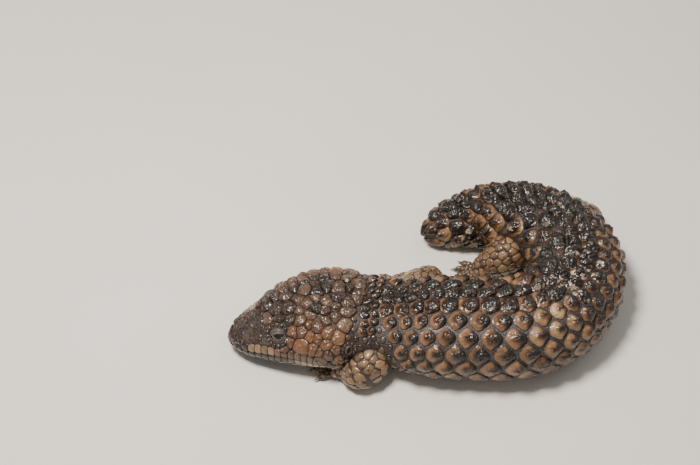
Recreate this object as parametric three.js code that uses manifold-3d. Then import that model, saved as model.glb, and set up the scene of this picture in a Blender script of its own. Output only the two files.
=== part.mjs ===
// A shingleback blue-tongued skink at life size, lying still in a curl.
// Millimetres, +Z up. The head points along -X, and the tail is brought round behind the body on the +Y side.
// The flat of the belly rests on z = 0, and the origin lies on it under the fore trunk.
import * as THREE from "three";
import { mergeVertices } from "three/addons/utils/BufferGeometryUtils.js";
import Module from "manifold-3d";

const wasm = await Module();
wasm.setup();

// Driving dimensions. Distances along the body run from the snout to the tail tip.
const LENGTH = 300;
const HEAD_END = 72;
const NECK_END = 90;
const TRUNK_CUTS = [140, 190];
const TRUNK_END = 240;
const TAIL_MIDDLE = 270;
const ORIGIN_AT = 117;
const GAP = 0.3;

// Heading of the spine on its way to the tail, in degrees from +X
const BEND = [
  [0, 12], [38, 8], [64, -4], [88, -13], [110, -8], [132, -2], [148, 9], [166, 36],
  [186, 66], [208, 100], [230, 132], [252, 162], [274, 186], [300, 206],
];

// Outer form over the scales: distance, half width, top, underside, level of the widest line
const FORM = [
  [0, 9.8, 12.6, 3.8, 8.4], [8, 13.6, 16.8, 3, 9], [17, 18.8, 22, 2.2, 9.8], [27, 24, 27.8, 1.6, 10.8],
  [40, 28.6, 32, 1.2, 12], [52, 30.6, 34, 1, 13], [63, 30.4, 34.5, 0.8, 14], [71, 28.2, 34, 0.5, 15],
  [80, 26.2, 33.2, -0.5, 16], [92, 27.4, 35.5, -1.5, 17], [105, 28.8, 39.5, -1.5, 18],
  [128, 28.4, 43, -1.5, 19], [154, 28.6, 44, -1.5, 19.5], [180, 29.6, 44, -1.5, 19.5],
  [206, 31, 43, -1.5, 19], [227, 27.6, 40, -1.5, 18], [246, 23.2, 36, -1.5, 16.5],
  [258, 20.6, 32.5, -1.5, 15], [273, 17, 28, -1.5, 13], [288, 12.8, 22.5, -1, 10.5], [300, 8, 16, 0, 7.5],
];

// Height of the scales over the skin, how far the inner flank is pressed in, and the roll of the head
const SCALE_RISE = [[0, 0.8], [60, 1.6], [100, 2.3], [252, 2.3], [300, 1.8]];
const INNER_PRESS = [[0, 0], [132, 0], [162, 0.08], [192, 0.24], [227, 0.22], [252, 0.08], [277, 0]];
const HEAD_ROLL = [[0, 9], [60, 8], [80, 3], [96, 0], [300, 0]];
const SNOUT_ROUND = 11;
const TAIL_ROUND = 13;

// Lines of scutes on each flank as shares of the half girth, their pitch at the mid trunk measured where
// the flank is widest, how close together they stand, how far the back's midline leans over to one side
// and how high they rise along the body
const SCUTE_SHARES = [0.11, 0.215, 0.32, 0.425, 0.53];
const SCUTE_ROW = 0.105;
const SCUTE_PITCH = 12;
const MIDLINE_PITCH = 10;
const WIDEST_SHARE = 0.42;
const SCUTES_FROM = 78;
const SHOULDER_FROM = 85;
const SHOULDER_SHARE = 0.28;
const SHOULDER_LEAN = 65;
const SCUTES_TO = 295;
const SCUTE_CLOSENESS = [
  [78, 0.62], [92, 0.66], [105, 0.78], [120, 0.98], [146, 1], [168, 0.86], [190, 0.78], [300, 0.74],
];
const MIDLINE = [[78, 0.03], [100, 0.1], [130, 0.13], [160, 0.11], [190, 0.03], [220, -0.03], [262, -0.08]];
const SCUTE_RISE = [[78, 1.7], [92, 2.2], [112, 2.6], [250, 2.5], [300, 2]];
const SCUTE_SINK = 1.2;
const SCUTE_ROOT = 1.04;

// Openings of the head, each at a distance along the body and a share of the half girth from the top
const EYE_RADIUS = 4.3;
const EYE_AT = 24;
const EYE_SIDE = 0.295;
const EYE_SINK = 1.5;
const LID_INNER = EYE_RADIUS - 0.5;
const LID_OUTER = EYE_RADIUS + 1.3;
const LID_OPEN = 0.3;
const LID_FAR = 1.1;
const NOSTRIL_AT = 5.5;
const NOSTRIL_SIDE = 0.33;
const NOSTRIL_RADIUS = 1.1;
const EAR_AT = 65.5;
const EAR_SIDE = 0.44;
const EAR_SIZE = [1.8, 2.6, 3.2];

// Feet: the palm's half sizes, and the toes' angle between neighbours, lengths and radius
const PALM_SIZE = [8, 6, 4];
const TOE_SPREAD = 27;
const TOE_LENGTHS = [6.5, 8.5, 9.5, 9, 7];
const TOE_RADIUS = 2;
const TOE_SIDES = 5;
const CLAW_LENGTH = 3.4;

const SKIN_BROWN = 0x7a5338;
const DARK_BROWN = 0x3f2d22;
const CLAW_BROWN = 0x2b211b;
const EYE_BLACK = 0x1c1714;

// A smooth curve through a table's rows, read at x
function smooth(table, x, column = 1) {
  const last = table.length - 1;
  const at = Math.min(Math.max(x, table[0][0]), table[last][0]);
  const slope = (i) => {
    const from = table[Math.max(i - 1, 0)];
    const to = table[Math.min(i + 1, last)];
    return (to[column] - from[column]) / (to[0] - from[0]);
  };
  let i = 0;
  while (i < last - 1 && at > table[i + 1][0]) i += 1;
  const step = table[i + 1][0] - table[i][0];
  const t = (at - table[i][0]) / step;
  return (
    (2 * t ** 3 - 3 * t ** 2 + 1) * table[i][column] +
    (t ** 3 - 2 * t ** 2 + t) * step * slope(i) +
    (3 * t ** 2 - 2 * t ** 3) * table[i + 1][column] +
    (t ** 3 - t ** 2) * step * slope(i + 1)
  );
}

// The spine on the floor, in steps of one millimetre, with its point under ORIGIN_AT at the origin
const heading = (s) => THREE.MathUtils.degToRad(smooth(BEND, s));
const spine = [[0, 0]];
for (let i = 1; i <= LENGTH + 1; i += 1) {
  const a = heading(i - 0.5);
  spine.push([spine[i - 1][0] + Math.cos(a), spine[i - 1][1] + Math.sin(a)]);
}
const home = spine[ORIGIN_AT];

// A point at a distance along the body, a distance to its right-hand side and a height
function place(s, side, height) {
  const i = Math.min(Math.max(Math.floor(s), 0), LENGTH);
  const a = heading(s);
  const t = s - i;
  return new THREE.Vector3(
    spine[i][0] - home[0] + Math.cos(a) * t - Math.sin(a) * side,
    spine[i][1] - home[1] + Math.sin(a) * t + Math.cos(a) * side,
    height,
  );
}

// How much of its full size a section keeps near the round snout and tail tip
function endRounding(s) {
  const nose = Math.min(s / SNOUT_ROUND, 1);
  const tail = Math.min((LENGTH - s) / TAIL_ROUND, 1);
  return Math.sqrt(Math.max(0, 1 - (1 - nose) ** 2)) * Math.sqrt(Math.max(0, 1 - (1 - tail) ** 2));
}

// The skin's section at a distance: side and height at an angle from the top
function sectionPoint(s, angle) {
  const rise = smooth(SCALE_RISE, s);
  const half = smooth(FORM, s, 1) - rise;
  const top = smooth(FORM, s, 2) - rise;
  const bottom = smooth(FORM, s, 3);
  const widest = smooth(FORM, s, 4);
  const round = endRounding(s);
  const across = Math.sin(angle);
  const up = Math.cos(angle);
  const full = 1 + (0.03 + 0.03 * up) * Math.sin(2 * angle) ** 2;
  const press = across > 0 ? 1 - smooth(INNER_PRESS, s) : 1;
  const side = half * round * across * full * press;
  const lift = ((top - bottom) / 2 * up + ((top + bottom) / 2 - widest) * up * up) * round * full;
  const roll = THREE.MathUtils.degToRad(smooth(HEAD_ROLL, s));
  return [
    side * Math.cos(roll) + lift * Math.sin(roll),
    Math.max(widest + lift * Math.cos(roll) - side * Math.sin(roll), 0),
  ];
}

// Sections measured once for each half millimetre, so that a share of the half girth gives an angle
const GIRTH_STEPS = 48;
const girths = new Map();
function girthAt(s) {
  const key = Math.round(s * 2);
  if (!girths.has(key)) {
    const halves = [-1, 1].map((sign) => {
      const lengths = [0];
      let before = sectionPoint(key / 2, 0);
      for (let i = 1; i <= GIRTH_STEPS; i += 1) {
        const now = sectionPoint(key / 2, (sign * Math.PI * i) / GIRTH_STEPS);
        lengths.push(lengths[i - 1] + Math.hypot(now[0] - before[0], now[1] - before[1]));
        before = now;
      }
      return lengths;
    });
    girths.set(key, halves);
  }
  return girths.get(key);
}

// The angle that lies a share of the half girth from the top: -1 and 1 are the middle of the belly
function angleAt(s, share) {
  const lengths = girthAt(s)[share < 0 ? 0 : 1];
  const wanted = Math.min(Math.abs(share), 1) * lengths[GIRTH_STEPS];
  let i = 1;
  while (i < GIRTH_STEPS && lengths[i] < wanted) i += 1;
  const part = (wanted - lengths[i - 1]) / Math.max(lengths[i] - lengths[i - 1], 1e-9);
  return (Math.sign(share) || 1) * ((i - 1 + part) / GIRTH_STEPS) * Math.PI;
}

// Swellings and hollows of the head: distance, share of the half girth, height, reach along, reach across
const HEAD_FORMS = [
  [22, 0.2, 1.3, 8, 0.06],
  [24, 0.305, -1.6, 5.5, 0.05],
  [50, 0.42, 1.4, 10, 0.12],
  [67, 0.46, -1.8, 4.5, 0.16],
  [12, 0.2, -0.6, 6, 0.1],
];

function headForm(s, share) {
  let sum = 0;
  for (const [at, side, height, along, across] of HEAD_FORMS) {
    const far = ((s - at) / along) ** 2 + ((Math.abs(share) - side) / across) ** 2;
    sum += height * Math.exp(-far);
  }
  return s < HEAD_END + 20 ? sum : 0;
}

// A point over the skin: distance, share of the half girth from the top, height along the normal
function plain(s, share) {
  const [side, height] = sectionPoint(s, angleAt(s, share));
  return place(s, side, height);
}

function normalAt(s, share) {
  const along = plain(s + 0.6, share).sub(plain(s - 0.6, share));
  const across = plain(s, share + 0.012).sub(plain(s, share - 0.012));
  return across.cross(along).normalize().negate();
}

function onSkin(s, share, height = 0) {
  const lift = height + headForm(s, share);
  const point = plain(s, share);
  return lift === 0 ? point : point.addScaledVector(normalAt(s, share), lift);
}

// Draws between two sizes, the same on every run
function makeRandom(seed) {
  let state = seed;
  return (low, high) => {
    state = (state * 1664525 + 1013904223) % 4294967296;
    return low + ((high - low) * state) / 4294967296;
  };
}

// A solid from points and triangles of their indices
function solid(points, faces) {
  const positions = new Float32Array(points.flatMap((p) => [p.x, p.y, p.z]));
  const geometry = new THREE.BufferGeometry();
  geometry.setAttribute("position", new THREE.BufferAttribute(positions, 3));
  geometry.setIndex(faces.flat());
  return solidOf(geometry);
}

function solidOf(geometry) {
  const bare = geometry.clone();
  bare.deleteAttribute("normal");
  bare.deleteAttribute("uv");
  const merged = mergeVertices(bare, 1e-4);
  const kept = [];
  const index = merged.index.array;
  for (let i = 0; i < index.length; i += 3) {
    const [a, b, c] = [index[i], index[i + 1], index[i + 2]];
    if (a !== b && b !== c && c !== a) kept.push(a, b, c);
  }
  const mesh = new wasm.Mesh({
    numProp: 3,
    vertProperties: merged.attributes.position.array,
    triVerts: new Uint32Array(kept),
  });
  const made = new wasm.Manifold(mesh);
  return made.volume() < 0 ? turned(mesh) : made;
}

function turned(mesh) {
  const flipped = Uint32Array.from(mesh.triVerts);
  for (let i = 0; i < flipped.length; i += 3) {
    [flipped[i + 1], flipped[i + 2]] = [flipped[i + 2], flipped[i + 1]];
  }
  return new wasm.Manifold(
    new wasm.Mesh({ numProp: 3, vertProperties: mesh.vertProperties, triVerts: flipped }),
  );
}

// A closed body through rings of as many points each, with a flat fan over each end
function loft(rings) {
  const count = rings[0].length;
  const points = rings.flat();
  const faces = [];
  for (let i = 0; i < rings.length - 1; i += 1) {
    for (let j = 0; j < count; j += 1) {
      const a = i * count + j;
      const b = i * count + ((j + 1) % count);
      faces.push([a, b, b + count], [a, b + count, a + count]);
    }
  }
  for (const end of [0, rings.length - 1]) {
    const middle = new THREE.Vector3();
    rings[end].forEach((p) => middle.addScaledVector(p, 1 / count));
    points.push(middle);
    for (let j = 0; j < count; j += 1) {
      const a = end * count + j;
      const b = end * count + ((j + 1) % count);
      faces.push(end ? [a, b, points.length - 1] : [b, a, points.length - 1]);
    }
  }
  return solid(points, faces);
}

const joined = (solids) => solids.reduce((sum, next) => sum.add(next));

function largest(body) {
  return body.decompose().reduce((best, next) => (next.volume() > best.volume() ? next : best));
}

// A limb's length: a cone with round ends from one joint to the next, set out all round by extra
function limb([from, to, fromRadius, toRadius], extra = 0, sides = 10) {
  const start = fromRadius + extra;
  const end = toRadius + extra;
  const length = from.distanceTo(to);
  const lean = Math.asin((start - end) / length);
  const steps = 3;
  const profile = [];
  for (let i = 0; i <= steps; i += 1) {
    const a = -Math.PI / 2 + ((lean + Math.PI / 2) * i) / steps;
    profile.push(new THREE.Vector2(Math.abs(start * Math.cos(a)), start * Math.sin(a)));
  }
  for (let i = 0; i <= steps; i += 1) {
    const a = lean + ((Math.PI / 2 - lean) * i) / steps;
    profile.push(new THREE.Vector2(Math.abs(end * Math.cos(a)), length + end * Math.sin(a)));
  }
  profile[0].x = 0;
  profile[profile.length - 1].x = 0;
  const geometry = new THREE.LatheGeometry(profile, sides);
  const up = new THREE.Vector3(0, 1, 0);
  const turn = new THREE.Quaternion().setFromUnitVectors(up, to.clone().sub(from).normalize());
  geometry.applyQuaternion(turn);
  geometry.translate(from.x, from.y, from.z);
  return solidOf(geometry);
}

// A rounded lump: a sphere stretched along, across and up, its long axis level at an angle
function lump(at, [along, across, up], angle, columns = 10, rows = 6) {
  const geometry = new THREE.SphereGeometry(1, columns, rows);
  geometry.rotateX(Math.PI / 2);
  geometry.scale(along, across, up);
  geometry.rotateZ(angle);
  geometry.translate(at.x, at.y, at.z);
  return solidOf(geometry);
}

// All that is at or below the floor, cut from every foot and belly
const floorSize = 600;
const floorDepth = 40;
const floorBlock = new THREE.BoxGeometry(floorSize, floorSize, floorDepth);
floorBlock.translate(0, 0, -floorDepth / 2);
const floor = solidOf(floorBlock);

// A scute: a six-sided plate on the skin, highest behind its middle, with its root sunk in
const SCUTE_OUTLINE = [
  [-0.46, -0.26], [-0.46, 0.26], [0, 0.52], [0.44, 0.28], [0.44, -0.28], [0, -0.52],
];
const CREST_HALF = 0.2;
const BODY_FILL = [0.93, 0.93];

function scute(s, share, length, width, rise, crestAt = 0.2) {
  const halfGirth = girthAt(s)[share < 0 ? 0 : 1][GIRTH_STEPS];
  const across = width / halfGirth;
  const at = (u, v, height) => onSkin(s + u * length, share + v * across, height);
  const roots = SCUTE_OUTLINE.map(([u, v]) => at(u * SCUTE_ROOT, v * SCUTE_ROOT, -SCUTE_SINK));
  const crest = [at(crestAt, CREST_HALF, rise), at(crestAt, -CREST_HALF, rise)];
  const faces = [
    [0, 1, 6], [1, 2, 6], [2, 3, 6], [3, 4, 7], [3, 7, 6], [4, 5, 7], [5, 0, 7], [0, 6, 7],
    [0, 2, 1], [0, 3, 2], [0, 4, 3], [0, 5, 4],
  ];
  return solid([...roots, ...crest], faces);
}

// How far the skin goes for each millimetre along the body
function stretchAt(s, share) {
  return onSkin(s + 0.5, share).distanceTo(onSkin(s - 0.5, share));
}

// A share of the half girth measured from the midline of the leaning back, as one from the top
function fromMidline(s, share) {
  const lean = smooth(MIDLINE, s);
  return lean + share * (1 - Math.sign(share) * lean);
}

// Staggered lines of scutes on one flank, or the single line on the midline
function scuteLines(side, shares, pitch, seed) {
  const random = makeRandom(seed);
  const list = [];
  let s = SCUTES_FROM;
  while (s < SCUTES_TO) {
    const wide = shares.length > 1 ? side * WIDEST_SHARE : 0;
    const step = (pitch * smooth(SCUTE_CLOSENESS, s)) / Math.max(stretchAt(s, wide), 0.3);
    for (let line = 0; line < shares.length; line += 1) {
      list.push({
        s: s + (line % 2 ? 0 : step / 2) + random(-0.3, 0.3),
        share: fromMidline(s, side * shares[line]) + random(-0.006, 0.006),
        length: step,
        size: random(0.94, 1.04),
        rise: smooth(SCUTE_RISE, s) * (1 - 0.3 * (shares[line] / 0.5) ** 3) * random(0.88, 1.08),
      });
    }
    s += step;
  }
  return list;
}

const bodyScutes = [
  ...scuteLines(-1, SCUTE_SHARES, SCUTE_PITCH, 7),
  ...scuteLines(1, SCUTE_SHARES, SCUTE_PITCH, 11),
  ...scuteLines(1, [0], MIDLINE_PITCH, 5),
].filter(({ s, share }) => s > SHOULDER_FROM + SHOULDER_LEAN * (Math.abs(share) - SHOULDER_SHARE));

// The head's shields in rows across it: distance, how many, share between neighbours, length, rise
const SHIELD_ROWS = [
  [7, 3, 0.2, 6, 1], [14, 4, 0.16, 7, 1.3], [22, 3, 0.13, 7.5, 1.3], [31, 5, 0.125, 8.5, 1.5],
  [40, 6, 0.13, 8.5, 1.7], [49, 7, 0.125, 8.5, 1.8], [58, 8, 0.12, 8.5, 1.9], [66.5, 7, 0.125, 8, 1.9],
];

function headShields() {
  const random = makeRandom(3);
  const list = [];
  for (const [s, count, between, length, rise] of SHIELD_ROWS) {
    for (let i = 0; i < count; i += 1) {
      const share = (i - (count - 1) / 2) * between;
      const width = between * girthAt(s)[0][GIRTH_STEPS] * random(0.84, 0.94);
      list.push(scute(s + random(-0.5, 0.5), share, length * random(0.9, 0.98), width, rise, 0.05));
    }
  }
  return list;
}

// The mouth: a line round the snout a little below the widest line, from corner to corner
const MOUTH_END = 45;
const MOUTH_SHARE = 0.48;
const MOUTH_DROP = 0.08;
const LIP_PLATES = 7;

function mouthPath() {
  const stops = [];
  for (let s = MOUTH_END; s > 1; s -= 4) stops.push([s, -1]);
  const back = stops.map(([s]) => [s, 1]).reverse();
  return [...stops, ...back];
}

const mouthShare = (s) => MOUTH_SHARE + MOUTH_DROP * (s / MOUTH_END) ** 2;

function mouthGroove() {
  const rings = mouthPath().map(([s, side]) => {
    const share = side * mouthShare(s);
    const fade = Math.min((MOUTH_END - s) / 6 + 0.35, 1);
    return [
      onSkin(s, share - side * 0.014, 1),
      onSkin(s, share, -1.6 * fade),
      onSkin(s, share + side * 0.014, 1),
    ];
  });
  return loft(rings);
}

function lipPlates(side) {
  const list = [];
  const first = 5;
  const step = (MOUTH_END - first) / LIP_PLATES;
  for (let i = 0; i < LIP_PLATES; i += 1) {
    const s = first + (i + 0.5) * step;
    const share = side * (mouthShare(s) - 0.055);
    list.push(scute(s, share, step * 0.96, 4, 0.8, 0));
  }
  return list;
}

// A stretch of the body between two distances, its ends cut square to the spine
const RING_POINTS = 20;
const RING_STEP = 13;

function skinRing(s) {
  return Array.from({ length: RING_POINTS }, (_, i) => onSkin(s, -1 + (2 * (i + 0.5)) / RING_POINTS));
}

function stretch(from, to, step = RING_STEP) {
  const count = Math.max(2, Math.round((to - from) / step));
  const rings = [];
  for (let i = 0; i <= count; i += 1) rings.push(skinRing(from + ((to - from) * i) / count));
  return rings;
}

// The room of a stretch, to which what grows over its ends is cut
const ROOM_STEP = 6;
const ROOM_LEFT = -46;
const ROOM_RIGHT = 34;
const ROOM_FLOOR = -4;
const ROOM_TOP = 60;

function room(from, to) {
  const count = Math.max(2, Math.round((to - from) / ROOM_STEP));
  const rings = [];
  for (let i = 0; i <= count; i += 1) {
    const s = from + ((to - from) * i) / count;
    rings.push([
      place(s, ROOM_LEFT, ROOM_FLOOR),
      place(s, ROOM_RIGHT, ROOM_FLOOR),
      place(s, ROOM_RIGHT, ROOM_TOP),
      place(s, ROOM_LEFT, ROOM_TOP),
    ]);
  }
  return loft(rings);
}

function bodyStretch(from, to, cutters) {
  const core = loft(stretch(from, to));
  const near = bodyScutes.filter((plate) => {
    const reach = plate.length / 2;
    return plate.s > from - reach && plate.s < to + reach && clearOfLimbs(plate);
  });
  const plates = near.map((plate) => {
    const girth = girthAt(plate.s)[0][GIRTH_STEPS];
    const length = plate.length * BODY_FILL[0] * plate.size;
    const width = SCUTE_ROW * girth * BODY_FILL[1] * plate.size;
    return scute(plate.s, plate.share, length, width, plate.rise);
  });
  let body = joined([core, ...plates]).intersect(room(from, to)).subtract(floor);
  for (const cutter of cutters) body = body.subtract(cutter);
  return largest(body);
}

// Legs: joints as distance along the body, distance to the right and height, with each joint's radius
const LEGS = {
  front_left: {
    joints: [[84, -13, 15], [74.5, -27.5, 10], [64, -25, 6], [59, -23.5, 4]],
    radii: [10, 9.5, 6, 4.5],
  },
  front_right: {
    joints: [[90, 18, 16], [100, 34, 11], [88, 35, 5.5], [83, 33, 4]],
    radii: [11, 8, 5.5, 4.5],
  },
  hind_left: {
    joints: [[240, -13, 15], [227, -28, 10.5], [242, -29, 6], [249, -28, 4]],
    radii: [12, 9.5, 6.5, 4.5],
  },
  hind_right: {
    joints: [[240, 12, 15], [248, 22.5, 10.5], [264, 27, 6], [270, 28, 4]],
    radii: [12, 10, 6.5, 4.5],
  },
};

function jointsOf(leg) {
  return leg.joints.map(([s, side, height]) => place(s, side, height));
}

const ELBOW_NARROWING = 0.82;

function limbParts(leg) {
  const [root, middle, ankle] = jointsOf(leg);
  const [rootRadius, middleRadius, ankleRadius] = leg.radii;
  return {
    upper: [root, middle, rootRadius, middleRadius],
    lower: [middle, ankle, middleRadius * ELBOW_NARROWING, ankleRadius],
  };
}

const clearOfLimbs = (plate) =>
  Object.values(LEGS).every((leg) => {
    const point = onSkin(plate.s, plate.share);
    const { upper } = limbParts(leg);
    const line = new THREE.Line3(upper[0], upper[1]);
    const near = line.closestPointToPoint(point, true, new THREE.Vector3());
    return near.distanceTo(point) > upper[2] + 2.5;
  });

// A toe: a short tapered tube that ends in a claw
function toe(from, angle, length) {
  const out = new THREE.Vector3(Math.cos(angle), Math.sin(angle), 0);
  const side = new THREE.Vector3(-out.y, out.x, 0);
  const stations = [
    [-2, 1, TOE_RADIUS],
    [length * 0.92, 0.9, TOE_RADIUS * 0.85],
    [length, 0.9, TOE_RADIUS * 0.42],
    [length + CLAW_LENGTH, 0.35, 0.22],
  ];
  const rings = stations.map(([along, height, radius]) =>
    Array.from({ length: TOE_SIDES }, (_, i) => {
      const a = (Math.PI * 2 * i) / TOE_SIDES;
      const p = from.clone().addScaledVector(out, along).addScaledVector(side, radius * Math.cos(a));
      p.z = TOE_RADIUS * height + radius * Math.sin(a);
      return p;
    }),
  );
  return loft(rings);
}

// A leg's palm, grown all round by extra
function palmLump(leg, extra = 0) {
  const [, , ankle, palm] = jointsOf(leg);
  const forward = Math.atan2(palm.y - ankle.y, palm.x - ankle.x);
  const size = PALM_SIZE.map((half) => half + extra);
  return { body: lump(palm, size, forward), palm, forward };
}

function foot(leg) {
  const { body, palm, forward } = palmLump(leg);
  const toes = TOE_LENGTHS.map((length, i) => {
    const spread = THREE.MathUtils.degToRad((i - 2) * TOE_SPREAD);
    const start = palm.clone();
    start.x += Math.cos(forward + spread) * 5;
    start.y += Math.sin(forward + spread) * 4.5;
    return toe(start, forward + spread * 0.9, length);
  });
  return joined([body, ...toes]);
}

// Eyes and what is cut for them, with a lid over and under each
function eyeCentre(side) {
  return onSkin(EYE_AT, side * EYE_SIDE, -EYE_SINK);
}

function ball(at, radius, columns = 12, rows = 8) {
  return lump(at, [radius, radius, radius], 0, columns, rows);
}

function lid(side, lower) {
  const centre = eyeCentre(side);
  const out = normalAt(EYE_AT, side * EYE_SIDE);
  const back = plain(EYE_AT + 1, side * EYE_SIDE).sub(plain(EYE_AT - 1, side * EYE_SIDE)).normalize();
  const up = new THREE.Vector3().crossVectors(out, back).normalize();
  if (up.z < 0) up.negate();
  const steps = 8;
  const rings = [];
  for (let i = 0; i <= steps; i += 1) {
    const along = ((i / steps) * 2 - 1) * 0.92;
    const open = LID_OPEN * Math.sqrt(1 - along ** 2);
    const edge = lower ? -open : open;
    const far = lower ? -LID_FAR : LID_FAR;
    const onBall = (radius, tilt) => {
      const width = Math.sqrt(1 - along ** 2) * 0.98;
      return centre
        .clone()
        .addScaledVector(back, radius * along)
        .addScaledVector(up, radius * width * Math.sin(tilt))
        .addScaledVector(out, radius * width * Math.cos(tilt));
    };
    rings.push([
      onBall(LID_INNER, edge),
      onBall(LID_OUTER, edge),
      onBall(LID_OUTER, far),
      onBall(LID_INNER, far),
    ]);
  }
  return loft(rings);
}

// Nostrils and ear openings, cut into the head
function nostril(side) {
  return ball(onSkin(NOSTRIL_AT, side * NOSTRIL_SIDE, 0.4), NOSTRIL_RADIUS, 8, 6);
}

function earCup(side) {
  return lump(onSkin(EAR_AT, side * EAR_SIDE, 0.6), EAR_SIZE, heading(EAR_AT), 10, 8);
}

function makeHead(cutters) {
  const rings = stretch(0.35, HEAD_END - GAP / 2, 5.5);
  const sides = [-1, 1];
  const lids = sides.flatMap((side) => [lid(side, false), lid(side, true)]);
  const plates = sides.flatMap((side) => lipPlates(side));
  const eyes = sides.map((side) => ball(eyeCentre(side), EYE_RADIUS + GAP));
  let head = joined([loft(rings), ...headShields(), ...plates, ...lids]);
  head = head.intersect(room(-6, HEAD_END - GAP / 2));
  for (const eye of eyes) head = head.subtract(eye);
  for (const side of sides) head = head.subtract(nostril(side)).subtract(earCup(side));
  head = head.subtract(mouthGroove());
  for (const cutter of cutters) head = head.subtract(cutter);
  return largest(head);
}

const model = new THREE.Group();

function addPart(name, body, colour, roughness) {
  const mesh = body.getMesh();
  const geometry = new THREE.BufferGeometry();
  geometry.setAttribute("position", new THREE.BufferAttribute(mesh.vertProperties, 3));
  geometry.setIndex(new THREE.BufferAttribute(mesh.triVerts, 1));
  const material = new THREE.MeshStandardMaterial({ color: colour, roughness, metalness: 0 });
  const part = new THREE.Mesh(geometry, material);
  part.name = name;
  model.add(part);
}

// Every leg's upper length is let into the body, and each length meets the next with a gap
const sockets = [];
for (const [name, leg] of Object.entries(LEGS)) {
  const { upper, lower } = limbParts(leg);
  const upperBody = limb(upper).subtract(floor);
  const lowerBody = limb(lower).subtract(limb(upper, GAP)).subtract(floor);
  const footBody = foot(leg).subtract(limb(lower, GAP)).subtract(limb(upper, GAP)).subtract(floor);
  addPart(name + "_upper", largest(upperBody), SKIN_BROWN, 0.5);
  addPart(name + "_lower", largest(lowerBody), SKIN_BROWN, 0.5);
  addPart(name + "_foot", largest(footBody), CLAW_BROWN, 0.5);
  sockets.push(limb(upper, GAP), limb(lower, GAP), palmLump(leg, GAP).body);
}

addPart("head", makeHead(sockets), SKIN_BROWN, 0.45);
addPart("neck", bodyStretch(HEAD_END + GAP / 2, NECK_END - GAP / 2, sockets), DARK_BROWN, 0.5);

const cuts = [NECK_END, ...TRUNK_CUTS, TRUNK_END];
["torso_fore", "torso_mid", "torso_hind"].forEach((name, i) => {
  addPart(name, bodyStretch(cuts[i] + GAP / 2, cuts[i + 1] - GAP / 2, sockets), SKIN_BROWN, 0.45);
});
addPart("tail_base", bodyStretch(TRUNK_END + GAP / 2, TAIL_MIDDLE - GAP / 2, sockets), SKIN_BROWN, 0.45);
addPart("tail_tip", bodyStretch(TAIL_MIDDLE + GAP / 2, LENGTH - 0.4, sockets), SKIN_BROWN, 0.45);
for (const [name, side] of [["eye_left", -1], ["eye_right", 1]]) {
  addPart(name, ball(eyeCentre(side), EYE_RADIUS), EYE_BLACK, 0.08);
}

export default model;
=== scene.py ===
import functools
import math
from typing import Callable, NamedTuple

import bpy
import numpy as np
from bpy.props import FloatProperty, FloatVectorProperty, PointerProperty
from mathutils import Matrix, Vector
from mathutils.bvhtree import BVHTree


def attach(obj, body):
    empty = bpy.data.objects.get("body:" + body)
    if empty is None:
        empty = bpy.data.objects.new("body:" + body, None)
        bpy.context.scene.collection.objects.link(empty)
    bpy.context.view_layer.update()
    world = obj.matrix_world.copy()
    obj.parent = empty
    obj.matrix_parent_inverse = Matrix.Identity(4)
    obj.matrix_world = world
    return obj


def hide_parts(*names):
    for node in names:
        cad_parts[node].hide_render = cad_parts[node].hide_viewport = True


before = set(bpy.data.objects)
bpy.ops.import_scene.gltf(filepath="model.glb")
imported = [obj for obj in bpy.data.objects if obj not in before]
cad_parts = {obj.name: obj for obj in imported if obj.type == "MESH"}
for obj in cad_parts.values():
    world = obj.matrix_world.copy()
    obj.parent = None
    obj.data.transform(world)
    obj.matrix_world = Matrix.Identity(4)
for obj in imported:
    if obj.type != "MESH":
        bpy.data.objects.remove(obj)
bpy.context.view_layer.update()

bl_info = {
    "name": "Shingleback skink",
    "version": (1, 0, 0),
    "blender": (4, 5, 0),
    "location": "View3D > Sidebar > Shingleback",
    "description": "Builds a curled, life-size shingleback skink with its scales, eyes and claws",
    "category": "Add Mesh",
}

BODY = "root"
MM = 0.001
LEFT, RIGHT = -1, 1

# Driving dimensions of the animal, in millimetres from the snout along the spine
LENGTH = 300
HEAD_END = 72
NECK_END = 90
TRUNK_CUTS = (140, 190)
TRUNK_END = 240
ORIGIN_AT = 117

# Heading of the spine on its way to the tail, in degrees from +X
BEND = [
    (0, 12), (38, 8), (64, -4), (88, -13), (110, -8), (132, -2), (148, 9), (166, 36),
    (186, 66), (208, 100), (230, 132), (252, 162), (274, 186), (300, 206),
]

# Outer form over the scales: distance, half width, top, underside, level of the widest line
FORM = [
    (0, 9.8, 12.6, 3.8, 8.4), (8, 13.6, 16.8, 3, 9), (17, 18.8, 22, 2.2, 9.8),
    (27, 24, 27.8, 1.6, 10.8), (40, 28.6, 32, 1.2, 12), (52, 30.6, 34, 1, 13),
    (63, 30.4, 34.5, 0.8, 14), (71, 28.2, 34, 0.5, 15), (80, 26.2, 33.2, -0.5, 16),
    (92, 27.4, 35.5, -1.5, 17), (105, 28.8, 39.5, -1.5, 18), (128, 28.4, 43, -1.5, 19),
    (154, 28.6, 44, -1.5, 19.5), (180, 29.6, 44, -1.5, 19.5), (206, 31, 43, -1.5, 19),
    (227, 27.6, 40, -1.5, 18), (246, 23.2, 36, -1.5, 16.5), (258, 20.6, 32.5, -1.5, 15),
    (273, 17, 28, -1.5, 13), (288, 12.8, 22.5, -1, 10.5), (300, 8, 16, 0, 7.5),
]
FULLNESS = 0.03
SCALE_RISE = [(0, 0.8), (60, 1.6), (100, 2.3), (252, 2.3), (300, 1.8)]
INNER_PRESS = [(0, 0), (132, 0), (162, 0.08), (192, 0.24), (227, 0.22), (252, 0.08), (277, 0), (300, 0)]
HEAD_ROLL = [(0, 9), (60, 8), (80, 3), (96, 0), (300, 0)]
SNOUT_ROUND = 11
TAIL_ROUND = 13
BELLY_LEVEL = 0.7

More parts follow.
